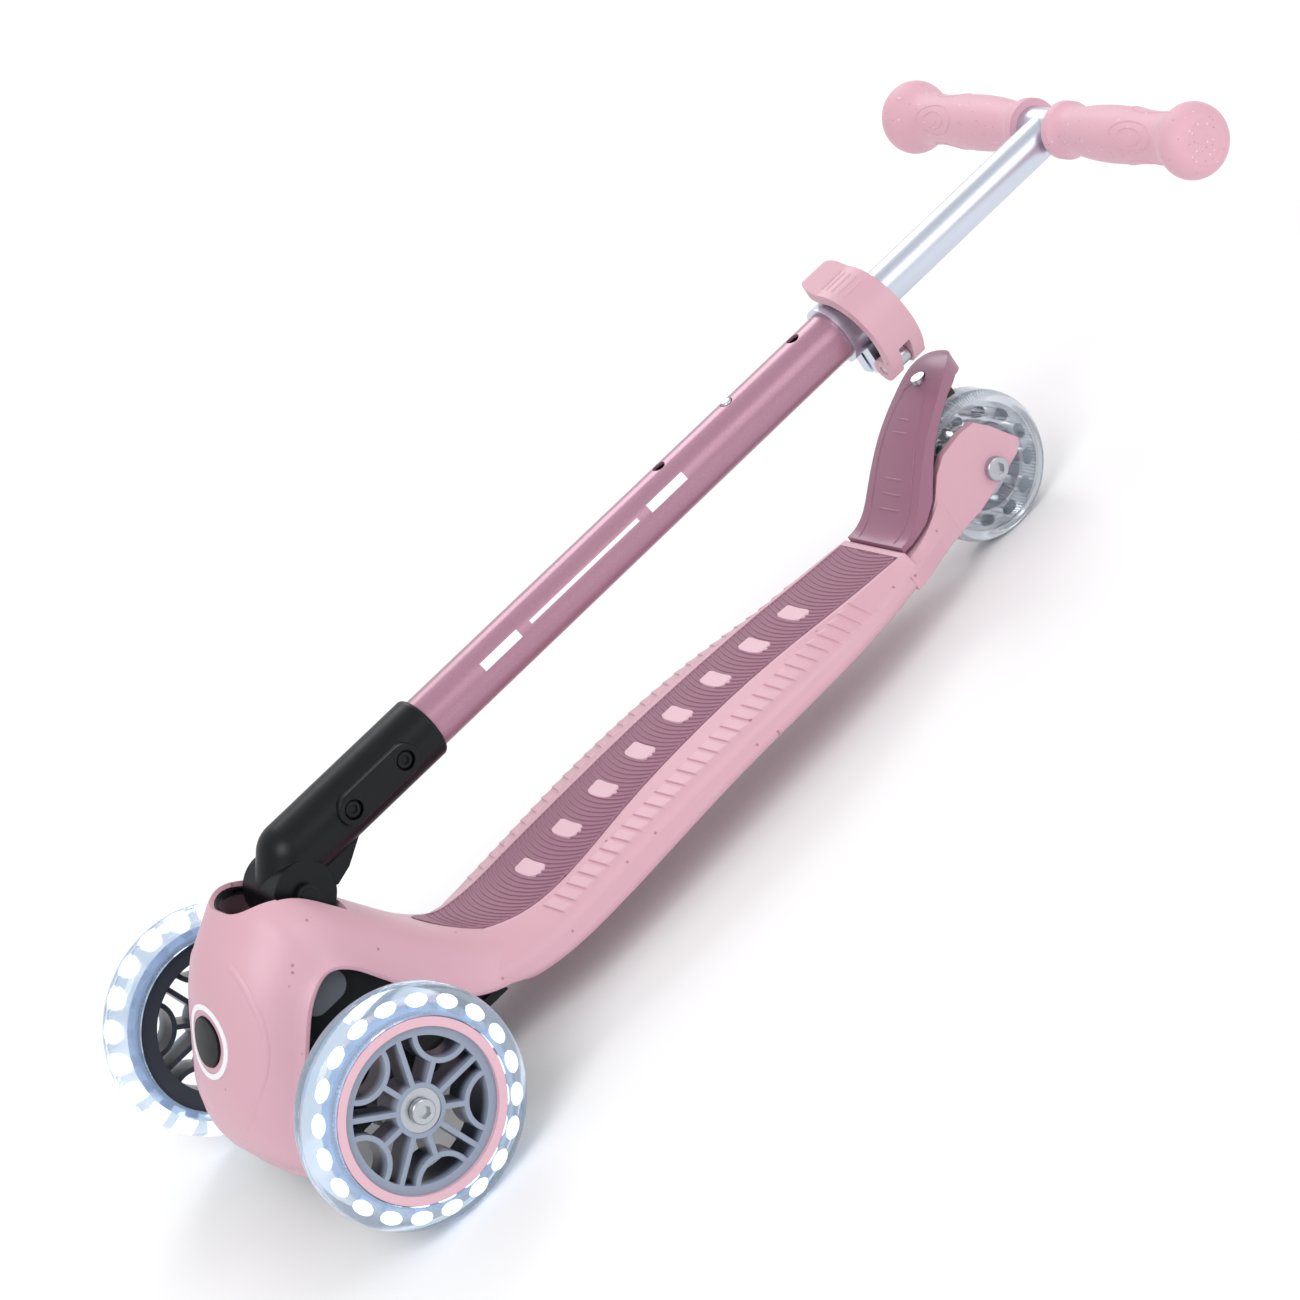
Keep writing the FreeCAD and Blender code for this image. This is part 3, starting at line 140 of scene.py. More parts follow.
def powderCoat(name, colour, flake):
    # satin powder coat on steel tube: fine orange peel and a hint of pearl flake
    material, tree, principled, place = newMaterial(name, colour, Metallic=0.35, Coat_Weight=0.35,
                                                    Coat_Roughness=0.22)
    cells = addNode(tree, "ShaderNodeTexVoronoi", Vector=place, Scale=1 / (0.5 * mm))
    split = addNode(tree, "ShaderNodeSeparateColor", Color=(cells, "Color"))
    bright = addNode(tree, "ShaderNodeMapRange", Value=(split, "Red"), From_Min=0.5, From_Max=1.0,
                     To_Min=0.0, To_Max=0.3)
    paint = mixColours(tree, (bright, "Result"), colour, flake)
    tree.links.new(paint.outputs[2], principled.inputs["Base Color"])
    varyRoughness(tree, principled, place, 14, 0.30, 0.38)
    grainBump(tree, principled, place, 0.9, 0.012, 0.3)
    return material


def turnedMetal(name, colour, roughness, lineMm, axis, edgeMm=0.25):
    # bare metal with fine lines across the axis it was turned or drawn on
    material, tree, principled, place = newMaterial(name, colour, Metallic=1.0)
    stretch = [1 / (40 * mm)] * 3
    stretch[axis] = 1 / (lineMm * mm)
    mapping = addNode(tree, "ShaderNodeMapping", Vector=place, Scale=tuple(stretch))
    lines = addNode(tree, "ShaderNodeTexNoise", Vector=(mapping, "Vector"), Scale=1.0, Detail=3.0)
    spread = addNode(tree, "ShaderNodeMapRange", Value=(lines, "Fac"), To_Min=roughness - 0.08,
                     To_Max=roughness + 0.08)
    tree.links.new(spread.outputs["Result"], principled.inputs["Roughness"])
    edge = addNode(tree, "ShaderNodeBevel", {"samples": 4}, Radius=edgeMm * mm)
    bump = addNode(tree, "ShaderNodeBump", Height=(lines, "Fac"), Normal=(edge, "Normal"), Strength=1.0,
                   Distance=0.006 * mm)
    tree.links.new(bump.outputs["Normal"], principled.inputs["Normal"])
    return material


def castUrethane(name, colour, haze, glow=0.0):
    # clear cast polyurethane: thick, slightly blue, with a skin polished by the mould; any glow is painted
    # light, a faint emission standing in for lamp light spread through the urethane
    material, tree, principled, place = newMaterial(name, colour, IOR=1.46, Transmission_Weight=0.82,
                                                    Roughness=haze,
                                                    Emission_Color=linear("#a9cbf2"), Emission_Strength=glow)
    cloud = addNode(tree, "ShaderNodeTexNoise", Vector=place, Scale=1 / (25 * mm), Detail=3.0)
    tint = mixColours(tree, (cloud, "Fac"), colour, "#eef5fb")
    tree.links.new(tint.outputs[2], principled.inputs["Base Color"])
    grainBump(tree, principled, place, 3.0, 0.02)
    return material


def speckledRubber(name, colour, dark, light):
    # thermoplastic rubber with light and dark granules pressed into it
    material, tree, principled, place = newMaterial(name, colour, IOR=1.5, Sheen_Weight=0.15)
    first = speckled(tree, place, colour, dark, 2.6, 0.35)
    shifted = addNode(tree, "ShaderNodeMapping", Vector=place, Location=(0.37, 0.11, 0.23))
    second = speckled(tree, (shifted, "Vector"), (first, 2), light, 3.1, 0.25)
    tree.links.new(second.outputs[2], principled.inputs["Base Color"])
    varyRoughness(tree, principled, place, 8, 0.5, 0.62)
    grainBump(tree, principled, place, 0.5, 0.03, 0.5)
    return material


def diffusedLamp(name, colour, glow):
    # frosted lamp bodies that stay bright inside the clear tyre
    material, tree, principled, place = newMaterial(name, colour, Roughness=0.35,
                                                    Emission_Color=linear("#eaf4ff"), Emission_Strength=glow)
    grainBump(tree, principled, place, 0.5, 0.01)
    return material


def hubWithPaintedShade(name, front, deep):
    # moulded nylon whose webs are painted darker deep inside the wheel than on their front edges: painted
    # shade in the deep pockets of the wheel
    material, tree, principled, place = newMaterial(name, front, IOR=1.5)
    apart = addNode(tree, "ShaderNodeSeparateXYZ", Vector=place)
    across = addNode(tree, "ShaderNodeMath", {"operation": "ABSOLUTE"}, input0=(apart, "X"))
    # painted shade: the colour goes from the front colour at 113.5 mm out to the deep shade colour at 108.5
    # mm out from the middle
    depth = addNode(tree, "ShaderNodeMapRange", Value=(across, "Value"), From_Min=108.5 * mm,
                    From_Max=113.5 * mm)
    tint = mixColours(tree, (depth, "Result"), deep, front)
    tree.links.new(tint.outputs[2], principled.inputs["Base Color"])
    varyRoughness(tree, principled, place, 12, 0.28, 0.38)
    grainBump(tree, principled, place, 1.2, 0.01, 0.4)
    return material


pinkShell = mouldedPolypropylene("moulded polypropylene, pink", "#cfa2b0", "#a87386", 0.6)
pinkNylon = mouldedPolypropylene("moulded nylon, pink", "#cb9fac", "#a87386", 0.4)
pinkRing = satinPlastic("moulded nylon, pale pink", "#dab0bc", 0.36)
treadRubber = glassFilledNylon("moulded thermoplastic rubber, mauve", "#94667a", 0.6, 0.2)
markPink = satinPlastic("moulded rubber inlay, pale pink", "#d9b4c0", 0.5, 0.0, 0.15)
mauveTube = powderCoat("powder-coated steel, mauve", "#a5788b", "#b88fa0")
mauveNylon = satinPlastic("moulded nylon, mauve", "#94637a", 0.36, 0.1, 0.6)
drawnAlu = turnedMetal("drawn anodised aluminium", "#cfd6e2", 0.34, 0.8, 0)
turnedAlu = turnedMetal("brushed aluminium tube", "#cdd4e0", 0.36, 0.8, 0)
zincSteel = turnedMetal("zinc-plated steel", "#b9bdc2", 0.3, 0.4, 0)
blackNylon = glassFilledNylon("glass-filled nylon, black", "#080b10", 0.36, 0.9, 0.45)
chassisNylon = glassFilledNylon("glass-filled nylon, coal", "#0c0f13", 0.46, 0.5, 0.5)
greyNylon = satinPlastic("moulded nylon, grey", "#5e636a", 0.4)
whitePrint = satinPlastic("moulded nylon, white", "#ecebee", 0.35)
gripRubber = speckledRubber("thermoplastic rubber, speckled pink", "#d6a5b4", "#b27c8f", "#edd0d8")
# the front tyres get a faint painted glow, standing in for the lamps' light spread through them
clearTyre = castUrethane("cast polyurethane, lit", "#c9dcf0", 0.1, 0.05)
rearUrethane = castUrethane("cast polyurethane, clear", "#d9dfe9", 0.1)
lampWhite = diffusedLamp("diffused lamp", "#8fb0d4", 0.04)
lampGlow = diffusedLamp("lit lamp", "#ffffff", 1.6)
# the second, darker colour is painted shade for the webs deep in the wheel
hubGreyPaintedShade = hubWithPaintedShade("moulded nylon, blue grey, painted shade in the webs", "#8a95a8", "#3a3f49")
smokeHub = castUrethane("polycarbonate, smoke", "#aeb4c0", 0.18)
brakeRubber = glassFilledNylon("moulded rubber, black", "#232326", 0.65, 0.3)

finishOf = {
    pinkShell: ["deck_shell"], pinkNylon: ["clamp_lever"],
    pinkRing: ["trim_ring_left", "trim_ring_right"],
    treadRubber: ["tread_mat"], mauveTube: ["lower_tube"], mauveNylon: ["brake_fender"],
    drawnAlu: ["cross_tube"], turnedAlu: ["clamp_collar", "upper_tube"],
    blackNylon: ["boot", "lock_button", "opening_liner", "boot_screws", "fold_pin"],
    chassisNylon: ["front_chassis", "steering_yoke", "knuckle_left", "knuckle_right", "tie_rod",
                   "clamp_washer"],
    greyNylon: ["fold_button", "yoke_bushes", "tube_bush"], whitePrint: ["lock_ring"],
    gripRubber: ["grip_left", "grip_right"], clearTyre: ["tyre_left", "tyre_right"],
    rearUrethane: ["rear_tyre"],
    lampWhite: ["led_ring_left", "led_ring_right"], hubGreyPaintedShade: ["hub_left", "hub_right"],
    smokeHub: ["rear_hub"], brakeRubber: ["brake_pad"],
}
finished = {}
for material, names in finishOf.items():
    for name in names:
        finished[name] = material
for name, node in nodes.items():
    node.data.materials.clear()
    node.data.materials.append(finished.get(name, zincSteel))
print("materials on", len(nodes), "frame nodes")


# ---- laying details on the frame's surfaces

frontAxle = Vector((0, -288.6, 0))


def at(x, y, z):
    # a point given in mm from the front axle's line, in the row frame
    return (Vector((x, y, z)) + frontAxle) * mm


def plainMesh(name, vertices, faces):
    mesh = bpy.data.meshes.new(name)
    mesh.from_pydata([tuple(v) for v in vertices], [], faces)
    mesh.validate()
    return mesh


def mergedCopy(name):
    node = nodes[name]
    shape = bmesh.new()
    shape.from_mesh(node.data)
    shape.transform(node.matrix_world)
    bmesh.ops.remove_doubles(shape, verts=shape.verts, dist=1e-6)
    mesh = bpy.data.meshes.new(name + "Surface")
    shape.to_mesh(mesh)
    shape.free()
    return bpy.data.objects.new(name + "Surface", mesh)


surfaces = {name: mergedCopy(name) for name in
            ("deck_shell", "tread_mat", "brake_fender", "grip_left", "grip_right", "clamp_lever")}
searchTrees = {}
for name, surface in surfaces.items():
    searchTrees[name] = BVHTree.FromPolygons([v.co.copy() for v in surface.data.vertices],
                                             [tuple(f.vertices) for f in surface.data.polygons])


def placePiece(mesh, name, material, body, smooth=True):
    piece = bpy.data.objects.new(name, mesh)
    mesh.materials.clear()
    mesh.materials.append(material)
    for face in mesh.polygons:
        face.use_smooth = smooth
    bpy.context.scene.collection.objects.link(piece)
    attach(piece, body)
    return piece


def newTree(name, inputs):
    tree = bpy.data.node_groups.new(name, "GeometryNodeTree")
    keys = {}
    for key, kind in inputs.items():
        socket = tree.interface.new_socket(key, in_out="INPUT", socket_type="NodeSocket" + kind)
        keys[key] = socket.identifier
    tree.interface.new_socket("Geometry", in_out="OUTPUT", socket_type="NodeSocketGeometry")
    start = tree.nodes.new("NodeGroupInput")
    end = tree.nodes.new("NodeGroupOutput")
    return tree, keys, start, end


def closeTree(tree, start, end, geometry):
    # ends in real geometry with its material on
    real = addNode(tree, "GeometryNodeRealizeInstances", Geometry=geometry)
    finish = addNode(tree, "GeometryNodeSetMaterial", Geometry=(real, "Geometry"),
                     Material=(start, "Material"))
    tree.links.new(finish.outputs["Geometry"], end.inputs["Geometry"])


def laidRowTree():
    # copies of a piece along a guide line, each dropped straight down onto a surface
    tree, keys, start, end = newTree("laidRow", {"Piece": "Object", "Guide": "Object", "Surface": "Object",
                                                 "Pitch": "Float", "Material": "Material"})
    guide = addNode(tree, "GeometryNodeObjectInfo", Object=(start, "Guide"))
    line = addNode(tree, "GeometryNodeMeshToCurve", Mesh=(guide, "Geometry"))
    spaced = addNode(tree, "GeometryNodeResampleCurve", {"mode": "LENGTH"}, Curve=(line, "Curve"),
                     Length=(start, "Pitch"))
    piece = addNode(tree, "GeometryNodeObjectInfo", Object=(start, "Piece"))
    row = addNode(tree, "GeometryNodeInstanceOnPoints", Points=(spaced, "Curve"),
                  Instance=(piece, "Geometry"))
    real = addNode(tree, "GeometryNodeRealizeInstances", Geometry=(row, "Instances"))
    surface = addNode(tree, "GeometryNodeObjectInfo", Object=(start, "Surface"))
    spot = addNode(tree, "ShaderNodeSeparateXYZ", Vector=(addNode(tree, "GeometryNodeInputPosition"),
                                                           "Position"))
    above = addNode(tree, "ShaderNodeCombineXYZ", X=(spot, "X"), Y=(spot, "Y"), Z=1.0)
    ray = addNode(tree, "GeometryNodeRaycast", Target_Geometry=(surface, "Geometry"),
                  Source_Position=(above, "Vector"), Ray_Direction=(0.0, 0.0, -1.0), Ray_Length=2.0)
    missed = addNode(tree, "FunctionNodeBooleanMath", {"operation": "NOT"}, input0=(ray, "Is Hit"))
    kept = addNode(tree, "GeometryNodeDeleteGeometry", {"domain": "POINT"}, Geometry=(real, "Geometry"),
                   Selection=(missed, "Boolean"))
    hit = addNode(tree, "ShaderNodeSeparateXYZ", Vector=(ray, "Hit Position"))
    height = addNode(tree, "ShaderNodeMath", {"operation": "ADD"}, input0=(hit, "Z"), input1=(spot, "Z"))
    target = addNode(tree, "ShaderNodeCombineXYZ", X=(spot, "X"), Y=(spot, "Y"), Z=(height, "Value"))
    laid = addNode(tree, "GeometryNodeSetPosition", Geometry=(kept, "Geometry"), Position=(target, "Vector"))
    closeTree(tree, start, end, (laid, "Geometry"))
    return tree, keys


def turnedRingTree():
    # copies of a piece turned about X, evenly round a centre
    tree, keys, start, end = newTree("turnedRing", {"Piece": "Object", "Count": "Int", "Centre": "Vector",
                                                    "Material": "Material"})
    line = addNode(tree, "GeometryNodeMeshLine", Count=(start, "Count"), Offset=(0.0, 0.0, 0.0))
    share = addNode(tree, "ShaderNodeMath", {"operation": "DIVIDE"},
                    input0=(addNode(tree, "GeometryNodeInputIndex"), "Index"), input1=(start, "Count"))
    angle = addNode(tree, "ShaderNodeMath", {"operation": "MULTIPLY"}, input0=(share, "Value"),
                    input1=2 * math.pi)
    turn = addNode(tree, "FunctionNodeAxisAngleToRotation", Axis=(1.0, 0.0, 0.0), Angle=(angle, "Value"))
    piece = addNode(tree, "GeometryNodeObjectInfo", Object=(start, "Piece"))
    ring = addNode(tree, "GeometryNodeInstanceOnPoints", Points=(line, "Mesh"),
                   Instance=(piece, "Geometry"), Rotation=(turn, "Rotation"))
    moved = addNode(tree, "GeometryNodeTransform", Geometry=(ring, "Instances"),
                    Translation=(start, "Centre"))
    closeTree(tree, start, end, (moved, "Geometry"))
    return tree, keys


laidRow = laidRowTree()
turnedRing = turnedRingTree()


def grow(treeAndKeys, name, material, body, smooth=True, **values):
    tree, keys = treeAndKeys
    maker = bpy.data.objects.new(name + "Maker", bpy.data.meshes.new(name + "Maker"))
    bpy.context.scene.collection.objects.link(maker)
    modifier = maker.modifiers.new("grow", "NODES")
    modifier.node_group = tree
    modifier[keys["Material"]] = material
    for key, value in values.items():
        modifier[keys[key]] = value
    graph = bpy.context.evaluated_depsgraph_get()
    mesh = bpy.data.meshes.new_from_object(maker.evaluated_get(graph), depsgraph=graph)
    maker.modifiers.remove(modifier)
    bpy.data.objects.remove(maker)
    return placePiece(mesh, name, material, body, smooth)


def guideLine(points):
    vertices = [at(x, y, 0) for x, y in points]
    mesh = bpy.data.meshes.new("guide")
    mesh.from_pydata([tuple(v) for v in vertices], [(i, i + 1) for i in range(len(vertices) - 1)], [])
    return bpy.data.objects.new("guide", mesh)


def strip(rows, closed=False):
    # quads between rows of equal length
    width = len(rows[0])
    faces = []
    for i in range(len(rows) if closed else len(rows) - 1):
        j = (i + 1) % len(rows)
        for k in range(width - 1):
            faces.append((i * width + k, i * width + k + 1, j * width + k + 1, j * width + k))
    return [v for row in rows for v in row], faces


def ridge(tree, rays, wide, high, closed=False):
    # a low rounded ridge that follows a surface, found by rays cast at it; sizes in mm
    hits = []
    for origin, direction in rays:
        point, normal, index, distance = tree.ray_cast(origin, direction)
        if point is not None:
            hits.append((point, normal if normal.dot(direction) < 0 else -normal))
    rows = []
    count = len(hits)
    for i, (point, normal) in enumerate(hits):
        before = hits[(i - 1) % count if closed else max(i - 1, 0)][0]
        after = hits[(i + 1) % count if closed else min(i + 1, count - 1)][0]
        along = (after - before).normalized()
        across = normal.cross(along).normalized() * (wide * mm / 2)
        end = not closed and i in (0, count - 1)
        top = normal * (0.0 if end else high * mm)
        rows.append([point - across - normal * 0.1 * mm, point - across * 0.6 + top * 0.7, point + top,
                     point + across * 0.6 + top * 0.7, point + across - normal * 0.1 * mm])
    return strip(rows, closed)


def placeRidges(name, ridges, material, body):
    vertices, faces = [], []
    for ridgeVertices, ridgeFaces in ridges:
        base = len(vertices)
        vertices += ridgeVertices
        faces += [tuple(i + base for i in face) for face in ridgeFaces]
    return placePiece(plainMesh(name, vertices, faces), name, material, body)


# ---- tread mat

treadRibs = {
    "pitch": 3.0, "width": 1.7, "height": 0.55, "bendRadius": 62.0, "halfReach": 33.0,
    "firstY": 96.0, "lastY": 402.0,
}
treadMarks = {
    "pitch": 26.0, "halfWidth": 12.0, "halfLength": 4.6, "height": 0.95,
    "firstY": 150.0, "lastY": 345.0,
}
matLip = {"width": 1.7, "height": 0.6, "step": 3.0}

ribRows = []
for i in range(65):
    x = treadRibs["halfReach"] * (2 * i / 64 - 1)
    back = treadRibs["bendRadius"] - math.sqrt(treadRibs["bendRadius"] ** 2 - x * x)
    half = treadRibs["width"] / 2
    ribRows.append([Vector((x, back + dy, z)) * mm for dy, z in
                    ((-half, -0.1), (-half * 0.55, treadRibs["height"]), (half * 0.55, treadRibs["height"]),
                     (half, -0.1))])
ribPiece = bpy.data.objects.new("ribPiece", plainMesh("ribPiece", *strip(ribRows)))
grow(laidRow, "treadRibs", treadRubber, "deck", False, Piece=ribPiece, Surface=surfaces["tread_mat"],
     Guide=guideLine([(0, treadRibs["firstY"]), (0, treadRibs["lastY"])]), Pitch=treadRibs["pitch"] * mm)

markRows = []
for i in range(17):
    x = treadMarks["halfWidth"] * (2 * i / 16 - 1)
    back = x * x / (2 * treadRibs["bendRadius"])
    half = 0.5 + treadMarks["halfLength"] * math.sqrt(1 - abs(2 * i / 16 - 1) ** 6)
    high = treadMarks["height"] * (1 if 0 < i < 16 else 0)
    markRows.append([Vector((x, back + dy, z)) * mm for dy, z in
                     ((-half, -0.1), (-half + 0.4, high), (half - 0.4, high), (half, -0.1))])
markPiece = bpy.data.objects.new("markPiece", plainMesh("markPiece", *strip(markRows)))
grow(laidRow, "treadMarks", markPink, "deck", False, Piece=markPiece, Surface=surfaces["tread_mat"],
     Guide=guideLine([(0, treadMarks["firstY"]), (0, treadMarks["lastY"])]),
     Pitch=treadMarks["pitch"] * mm)


def matEdgeX(y):
    found = None
    for i in range(160):
        x = 8 + i * 0.2
        if searchTrees["tread_mat"].ray_cast(at(x, y, 200), Vector((0, 0, -1)))[0] is not None:
            found = x
    return found


lipRidges = []
down = Vector((0, 0, -1))
edgeLine = []
y = treadRibs["firstY"]
while y < treadRibs["lastY"]:
    edgeX = matEdgeX(y)
    if edgeX:
        edgeLine.append((edgeX - matLip["width"] / 2, y))
    y += matLip["step"]
for side in (-1, 1):
    lipRidges.append(ridge(searchTrees["tread_mat"], [(at(side * x, y, 200), down) for x, y in edgeLine],
                           matLip["width"], matLip["height"]))
placeRidges("matLips", lipRidges, treadRubber, "deck")
print("tread mat detailed")


# ---- shoulder teeth on the deck

shoulderTeeth = {
    "pitch": 8.0, "halfWidth": 7.3, "length": 6.6, "height": 0.85, "skew": 0.2,
    "centreLine": [(43, 138), (44, 200), (43.5, 250), (41.5, 300), (38.5, 345), (36, 366)],
}


def toothPiece(side):
    rows = []
    for i in range(9):
        share = 2 * i / 8 - 1
        x = side * shoulderTeeth["halfWidth"] * share
        edge = 1 if abs(share) < 1 else 0
        skewed = shoulderTeeth["skew"] * shoulderTeeth["halfWidth"] * share
        row = [Vector((x, -shoulderTeeth["length"] / 2 + skewed - 0.25, -0.1))]
        for k in range(4):
            v = k / 3
            y = shoulderTeeth["length"] * (v - 0.5) + skewed
            row.append(Vector((x, y, shoulderTeeth["height"] * (1 - v) * edge - 0.05)))
        rows.append([v * mm for v in row])
    return bpy.data.objects.new("tooth", plainMesh("tooth", *strip(rows)))


for side, word in ((1, "Left"), (-1, "Right")):
    grow(laidRow, "shoulderTeeth" + word, pinkShell, "deck", False, Piece=toothPiece(side),
         Surface=surfaces["deck_shell"], Pitch=shoulderTeeth["pitch"] * mm,
         Guide=guideLine([(side * x, y) for x, y in shoulderTeeth["centreLine"]]))
print("shoulder teeth laid")


# ---- lamps in the front tyres

tyreLamps = {"count": 20, "ringRadius": 52.5, "long": 6.0, "deep": 2.9, "thick": 1.8, "outward": 5.5,
             "wheelX": 105.7, "axleZ": 60.5}
lampMesh = bmesh.new()
bmesh.ops.create_icosphere(lampMesh, subdivisions=2, radius=1.0)
bmesh.ops.transform(lampMesh, verts=lampMesh.verts, matrix=Matrix.Translation(
    (0, tyreLamps["ringRadius"] * mm, 0)) @ Matrix.Diagonal(
    (tyreLamps["thick"] * mm, tyreLamps["deep"] * mm, tyreLamps["long"] * mm, 1)))
lampData = bpy.data.meshes.new("lampPiece")
lampMesh.to_mesh(lampData)
lampMesh.free()
lampPiece = bpy.data.objects.new("lampPiece", lampData)
for side, word in ((1, "left"), (-1, "right")):
    grow(turnedRing, "tyreLamps" + word.title(), lampGlow, "wheel_" + word, Piece=lampPiece,
         Count=tyreLamps["count"],
         Centre=at(side * (tyreLamps["wheelX"] + tyreLamps["outward"]), 0, tyreLamps["axleZ"]))
print("tyre lamps set")


# ---- grips

gripRelief = {"barY": 618.0, "barZ": 150.0, "ovalX": 88.0, "ovalHalfLength": 17.0, "ovalHalfTurn": 34.0,
              "ovals": [(0, 1.0), (0, 0.55), (180, 1.0), (90, 0.8), (270, 0.8)], "ridgeWidth": 0.9,
              "ridgeHeight": 0.45, "endRings": [4.0, 8.5, 12.0], "ringWidth": 0.8, "ringHeight": 0.1}


def gripRays(side, x, turn):
    around = math.radians(turn)
    out = Vector((0, -math.cos(around), math.sin(around)))
    return at(side * x, gripRelief["barY"], gripRelief["barZ"]) + out * 60 * mm, -out


for side, word in ((1, "left"), (-1, "right")):
    tree = searchTrees["grip_" + word]
    ridges = []
    for centre, size in gripRelief["ovals"]:
        rays = []
        for i in range(48):
            angle = 2 * math.pi * i / 48
            rays.append(gripRays(side, gripRelief["ovalX"] + size * gripRelief["ovalHalfLength"] *
                                 math.cos(angle), centre + 40 +
                                 size * gripRelief["ovalHalfTurn"] * math.sin(angle)))
        ridges.append(ridge(tree, rays, gripRelief["ridgeWidth"], gripRelief["ridgeHeight"], True))
    for radius in gripRelief["endRings"]:
        rays = [(at(side * 150, gripRelief["barY"] + radius * math.cos(a), gripRelief["barZ"] +
                    radius * math.sin(a)), Vector((-side, 0, 0))) for a in
                [2 * math.pi * i / 40 for i in range(40)]]
        ridges.append(ridge(tree, rays, gripRelief["ringWidth"], gripRelief["ringHeight"], True))
    placeRidges("gripRelief" + word.title(), ridges, gripRubber, "tbar_upper")
print("grips detailed")


# ---- soft crease moulded round the steering lock button

hoodCrease = {"centre": (0, -34, 107), "rise": 32.0, "halfWide": 39.0, "halfHigh": 47.0,
              "ridgeWidth": 4.0, "ridgeHeight": 0.45, "from": -62.0, "to": 62.0}
lean = math.radians(hoodCrease["rise"])
outOfHood = Vector((0, -math.cos(lean), math.sin(lean)))
upTheHood = Vector((0, math.sin(lean), math.cos(lean)))
creases = []
for side in (-1, 1):
    rays = []
    for i in range(49):
        angle = math.radians(hoodCrease["from"] + (hoodCrease["to"] - hoodCrease["from"]) * i / 48)
        spot = at(*hoodCrease["centre"]) + upTheHood * hoodCrease["halfHigh"] * math.sin(angle) * mm
        spot.x = side * hoodCrease["halfWide"] * math.cos(angle) * mm
        rays.append((spot + outOfHood * 80 * mm, -outOfHood))
    creases.append(ridge(searchTrees["deck_shell"], rays, hoodCrease["ridgeWidth"],
                         hoodCrease["ridgeHeight"]))
placeRidges("hoodCrease", creases, pinkShell, "deck")
print("hood crease laid")


# ---- brake fender relief

brakeRelief = {
    "outline": [(16, -50), (17.5, -30), (16.5, -8), (13.5, 15), (9.5, 32), (0, 38)],
    "bars": [(-30, 9), (-22, 9), (-14, 9), (10, 7), (17, 6)], "barWidth": 1.2, "barHeight": 0.5,
    "baseY": 445.0, "baseZ": 75.0, "ridgeWidth": 0.9, "ridgeHeight": 0.45,
}
slope = Vector((0, 0.66, 0.75)).normalized()
facing = Vector((0, -0.75, 0.66)).normalized()


def brakeRay(x, along):
    base = at(x, brakeRelief["baseY"], brakeRelief["baseZ"]) + slope * along * mm
    return base + facing * 60 * mm, -facing


def smoothLine(points, count):
    # evenly shared points on straight runs between the given ones
    lengths = [math.dist(points[i], points[i + 1]) for i in range(len(points) - 1)]
    total = sum(lengths)
    line = []
    for i in range(count + 1):
        goal = total * i / count
        k = 0
        while k < len(lengths) - 1 and goal > lengths[k]:
            goal -= lengths[k]
            k += 1
        share = min(goal / lengths[k], 1)
        line.append(tuple(a + (b - a) * share for a, b in zip(points[k], points[k + 1])))
    return line


half = smoothLine(brakeRelief["outline"], 40)
loop = half + [(-x, s) for x, s in reversed(half[:-1])]
brakeRidges = [ridge(searchTrees["brake_fender"], [brakeRay(x, s) for x, s in loop],
                     brakeRelief["ridgeWidth"], brakeRelief["ridgeHeight"])]
for s, reach in brakeRelief["bars"]:
    brakeRidges.append(ridge(searchTrees["brake_fender"],
                             [brakeRay(reach * (2 * i / 12 - 1), s) for i in range(13)],
                             brakeRelief["barWidth"], brakeRelief["barHeight"]))
placeRidges("brakeRelief", brakeRidges, mauveNylon, "brake")
print("brake fender detailed")


# ---- finger ridges on the clamp lever

leverRelief = {"centreX": 4.0, "centreZ": 143.0, "y": 465.0, "turns": [62, 70, 78, 86, 94], "halfLong": 7.5,
               "ridgeWidth": 1.5, "ridgeHeight": 0.5}
leverRidges = []
for turn in leverRelief["turns"]:
    out = Vector((math.cos(math.radians(turn)), 0, math.sin(math.radians(turn))))
    rays = []
    for i in range(13):
        y = leverRelief["y"] + leverRelief["halfLong"] * (2 * i / 12 - 1)
        rays.append((at(leverRelief["centreX"], y, leverRelief["centreZ"]) + out * 60 * mm, -out))
    leverRidges.append(ridge(searchTrees["clamp_lever"], rays, leverRelief["ridgeWidth"],
                             leverRelief["ridgeHeight"]))
placeRidges("leverRidges", leverRidges, pinkNylon, "clamp_lever")
print("lever detailed")


# ---- generic print on the tube

tubePrint = {"radius": 14.33, "turn": 62.0, "bars": [(188, 214, 5.0), (222, 300, 2.2), (308, 334, 5.0)],
             "axisZ": 150.0}
printRows = []
for first, last, high in tubePrint["bars"]:
    spread = math.degrees(high / 2 / tubePrint["radius"])
    rows = []
    for i in range(2):
        y = (first, last)[i]
        row = []
        for k in range(7):
            angle = math.radians(tubePrint["turn"] + spread * (2 * k / 6 - 1))
            row.append(at(tubePrint["radius"] * math.sin(angle), y,
                          tubePrint["axisZ"] + tubePrint["radius"] * math.cos(angle)))
        rows.append(row)
    printRows.append(strip(rows))
placeRidges("tubePrint", printRows, whitePrint, "tbar")
print("tube printed")


# ---- studio

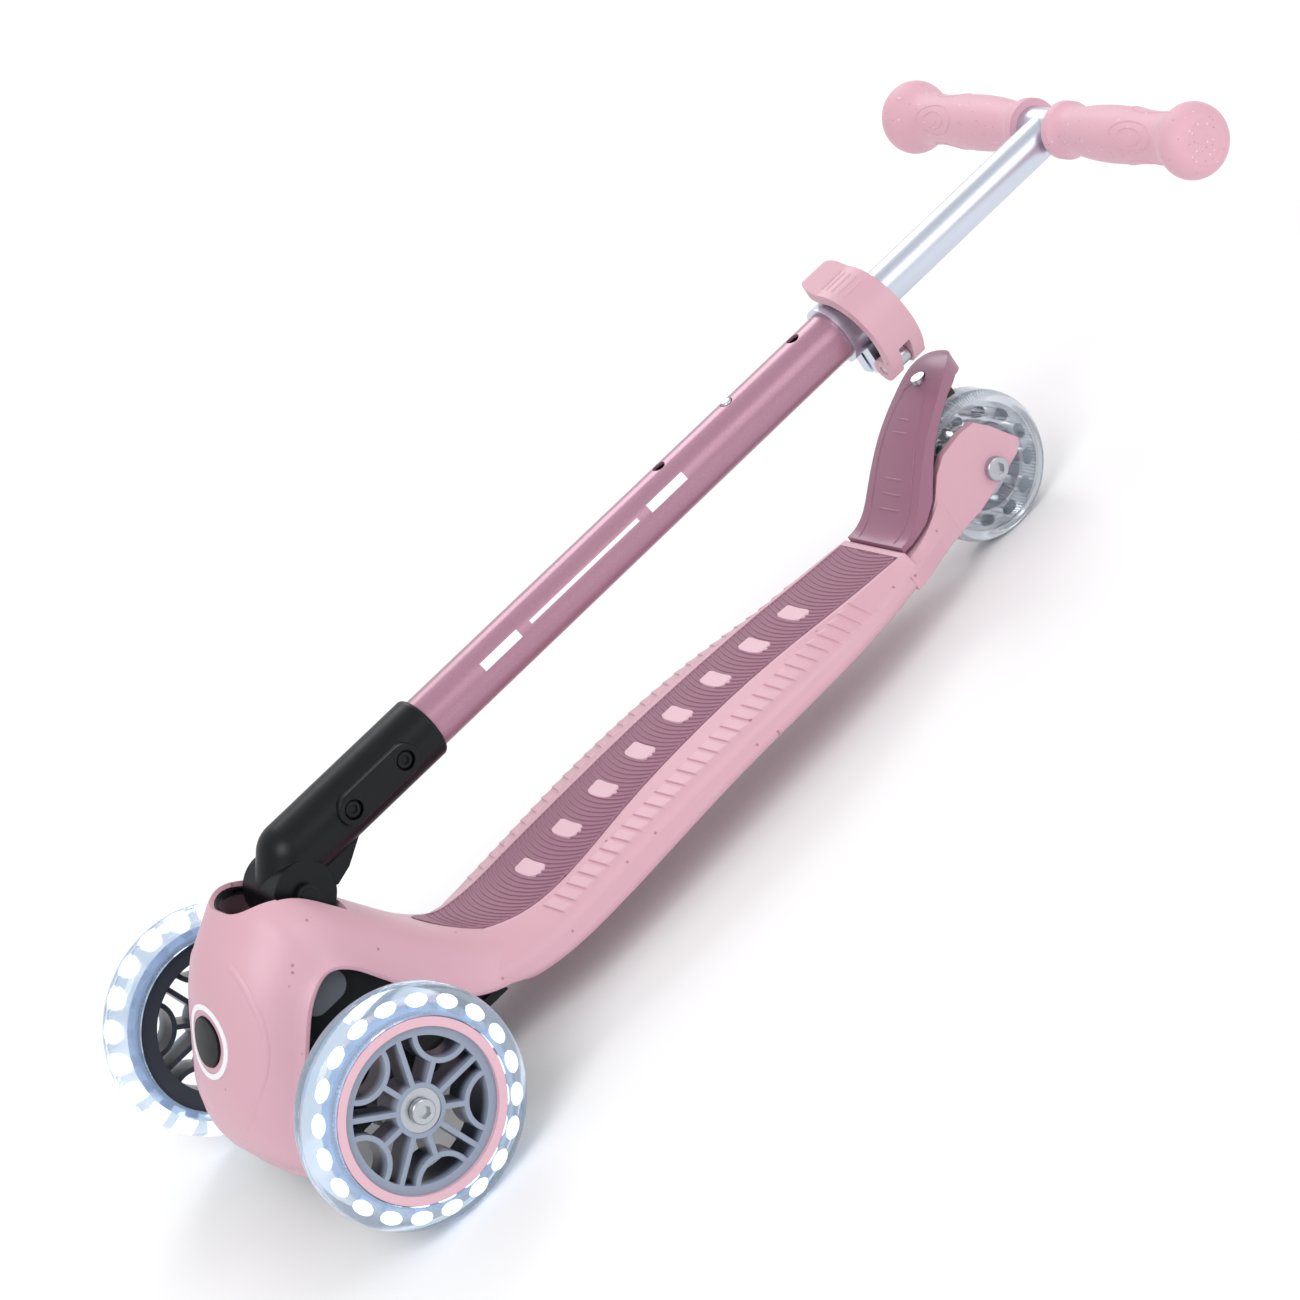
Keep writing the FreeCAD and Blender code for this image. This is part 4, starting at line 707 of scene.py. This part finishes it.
studio = {
    "lens": 141.88, "cameraPlace": (2.1916, -0.8231, 1.2159), "lookAlong": (-0.8460, 0.3105, -0.4335),
    "roll": -35.0, "floorSize": 14.0, "floorTone": "#f4f4f5", "worldTone": "#ffffff",
    "worldStrength": 0.75,
}


def makeStudio():
    floor = bpy.data.meshes.new("studioFloor")
    half = studio["floorSize"] / 2
    floor.from_pydata([(-half, -half, 0), (half, -half, 0), (half, half, 0), (-half, half, 0)], [],
                      [(0, 1, 2, 3)])
    floorObject = bpy.data.objects.new("studioFloor", floor)
    bpy.context.scene.collection.objects.link(floorObject)
    paper, tree, principled, place = newMaterial("matt backdrop paper", studio["floorTone"], Roughness=0.9)
    floor.materials.append(paper)

    lights = [
        ("keyLight", (1.6, -1.6, 2.6), 1.6, 42),
        ("fillLight", (2.6, 1.8, 1.9), 1.8, 22),
        ("rimLight", (-2.2, 1.4, 2.2), 1.6, 30),
    ]
    for name, place, size, watts in lights:
        lamp = bpy.data.lights.new(name, "AREA")
        lamp.energy = watts
        lamp.size = size
        lampObject = bpy.data.objects.new(name, lamp)
        lampObject.location = place
        lampObject.rotation_euler = (Vector((0, 0, 0.08)) - Vector(place)).to_track_quat("-Z", "Y").to_euler()
        bpy.context.scene.collection.objects.link(lampObject)

    world = bpy.data.worlds.new("studioWorld")
    world.use_nodes = True
    background = world.node_tree.nodes["Background"]
    background.inputs["Color"].default_value = linear(studio["worldTone"])
    background.inputs["Strength"].default_value = studio["worldStrength"]
    bpy.context.scene.world = world

    camera = bpy.data.cameras.new("studioCamera")
    camera.lens = studio["lens"]
    camera.sensor_width = 36
    cameraObject = bpy.data.objects.new("studioCamera", camera)
    facing = Vector(studio["lookAlong"]).to_track_quat("-Z", "Y").to_matrix().to_4x4()
    turn = Matrix.Rotation(math.radians(studio["roll"]), 4, "Z")
    cameraObject.matrix_world = Matrix.Translation(studio["cameraPlace"]) @ facing @ turn
    bpy.context.scene.collection.objects.link(cameraObject)
    bpy.context.scene.camera = cameraObject
    bpy.context.scene.view_settings.view_transform = "Standard"


makeStudio()
print("studio ready")
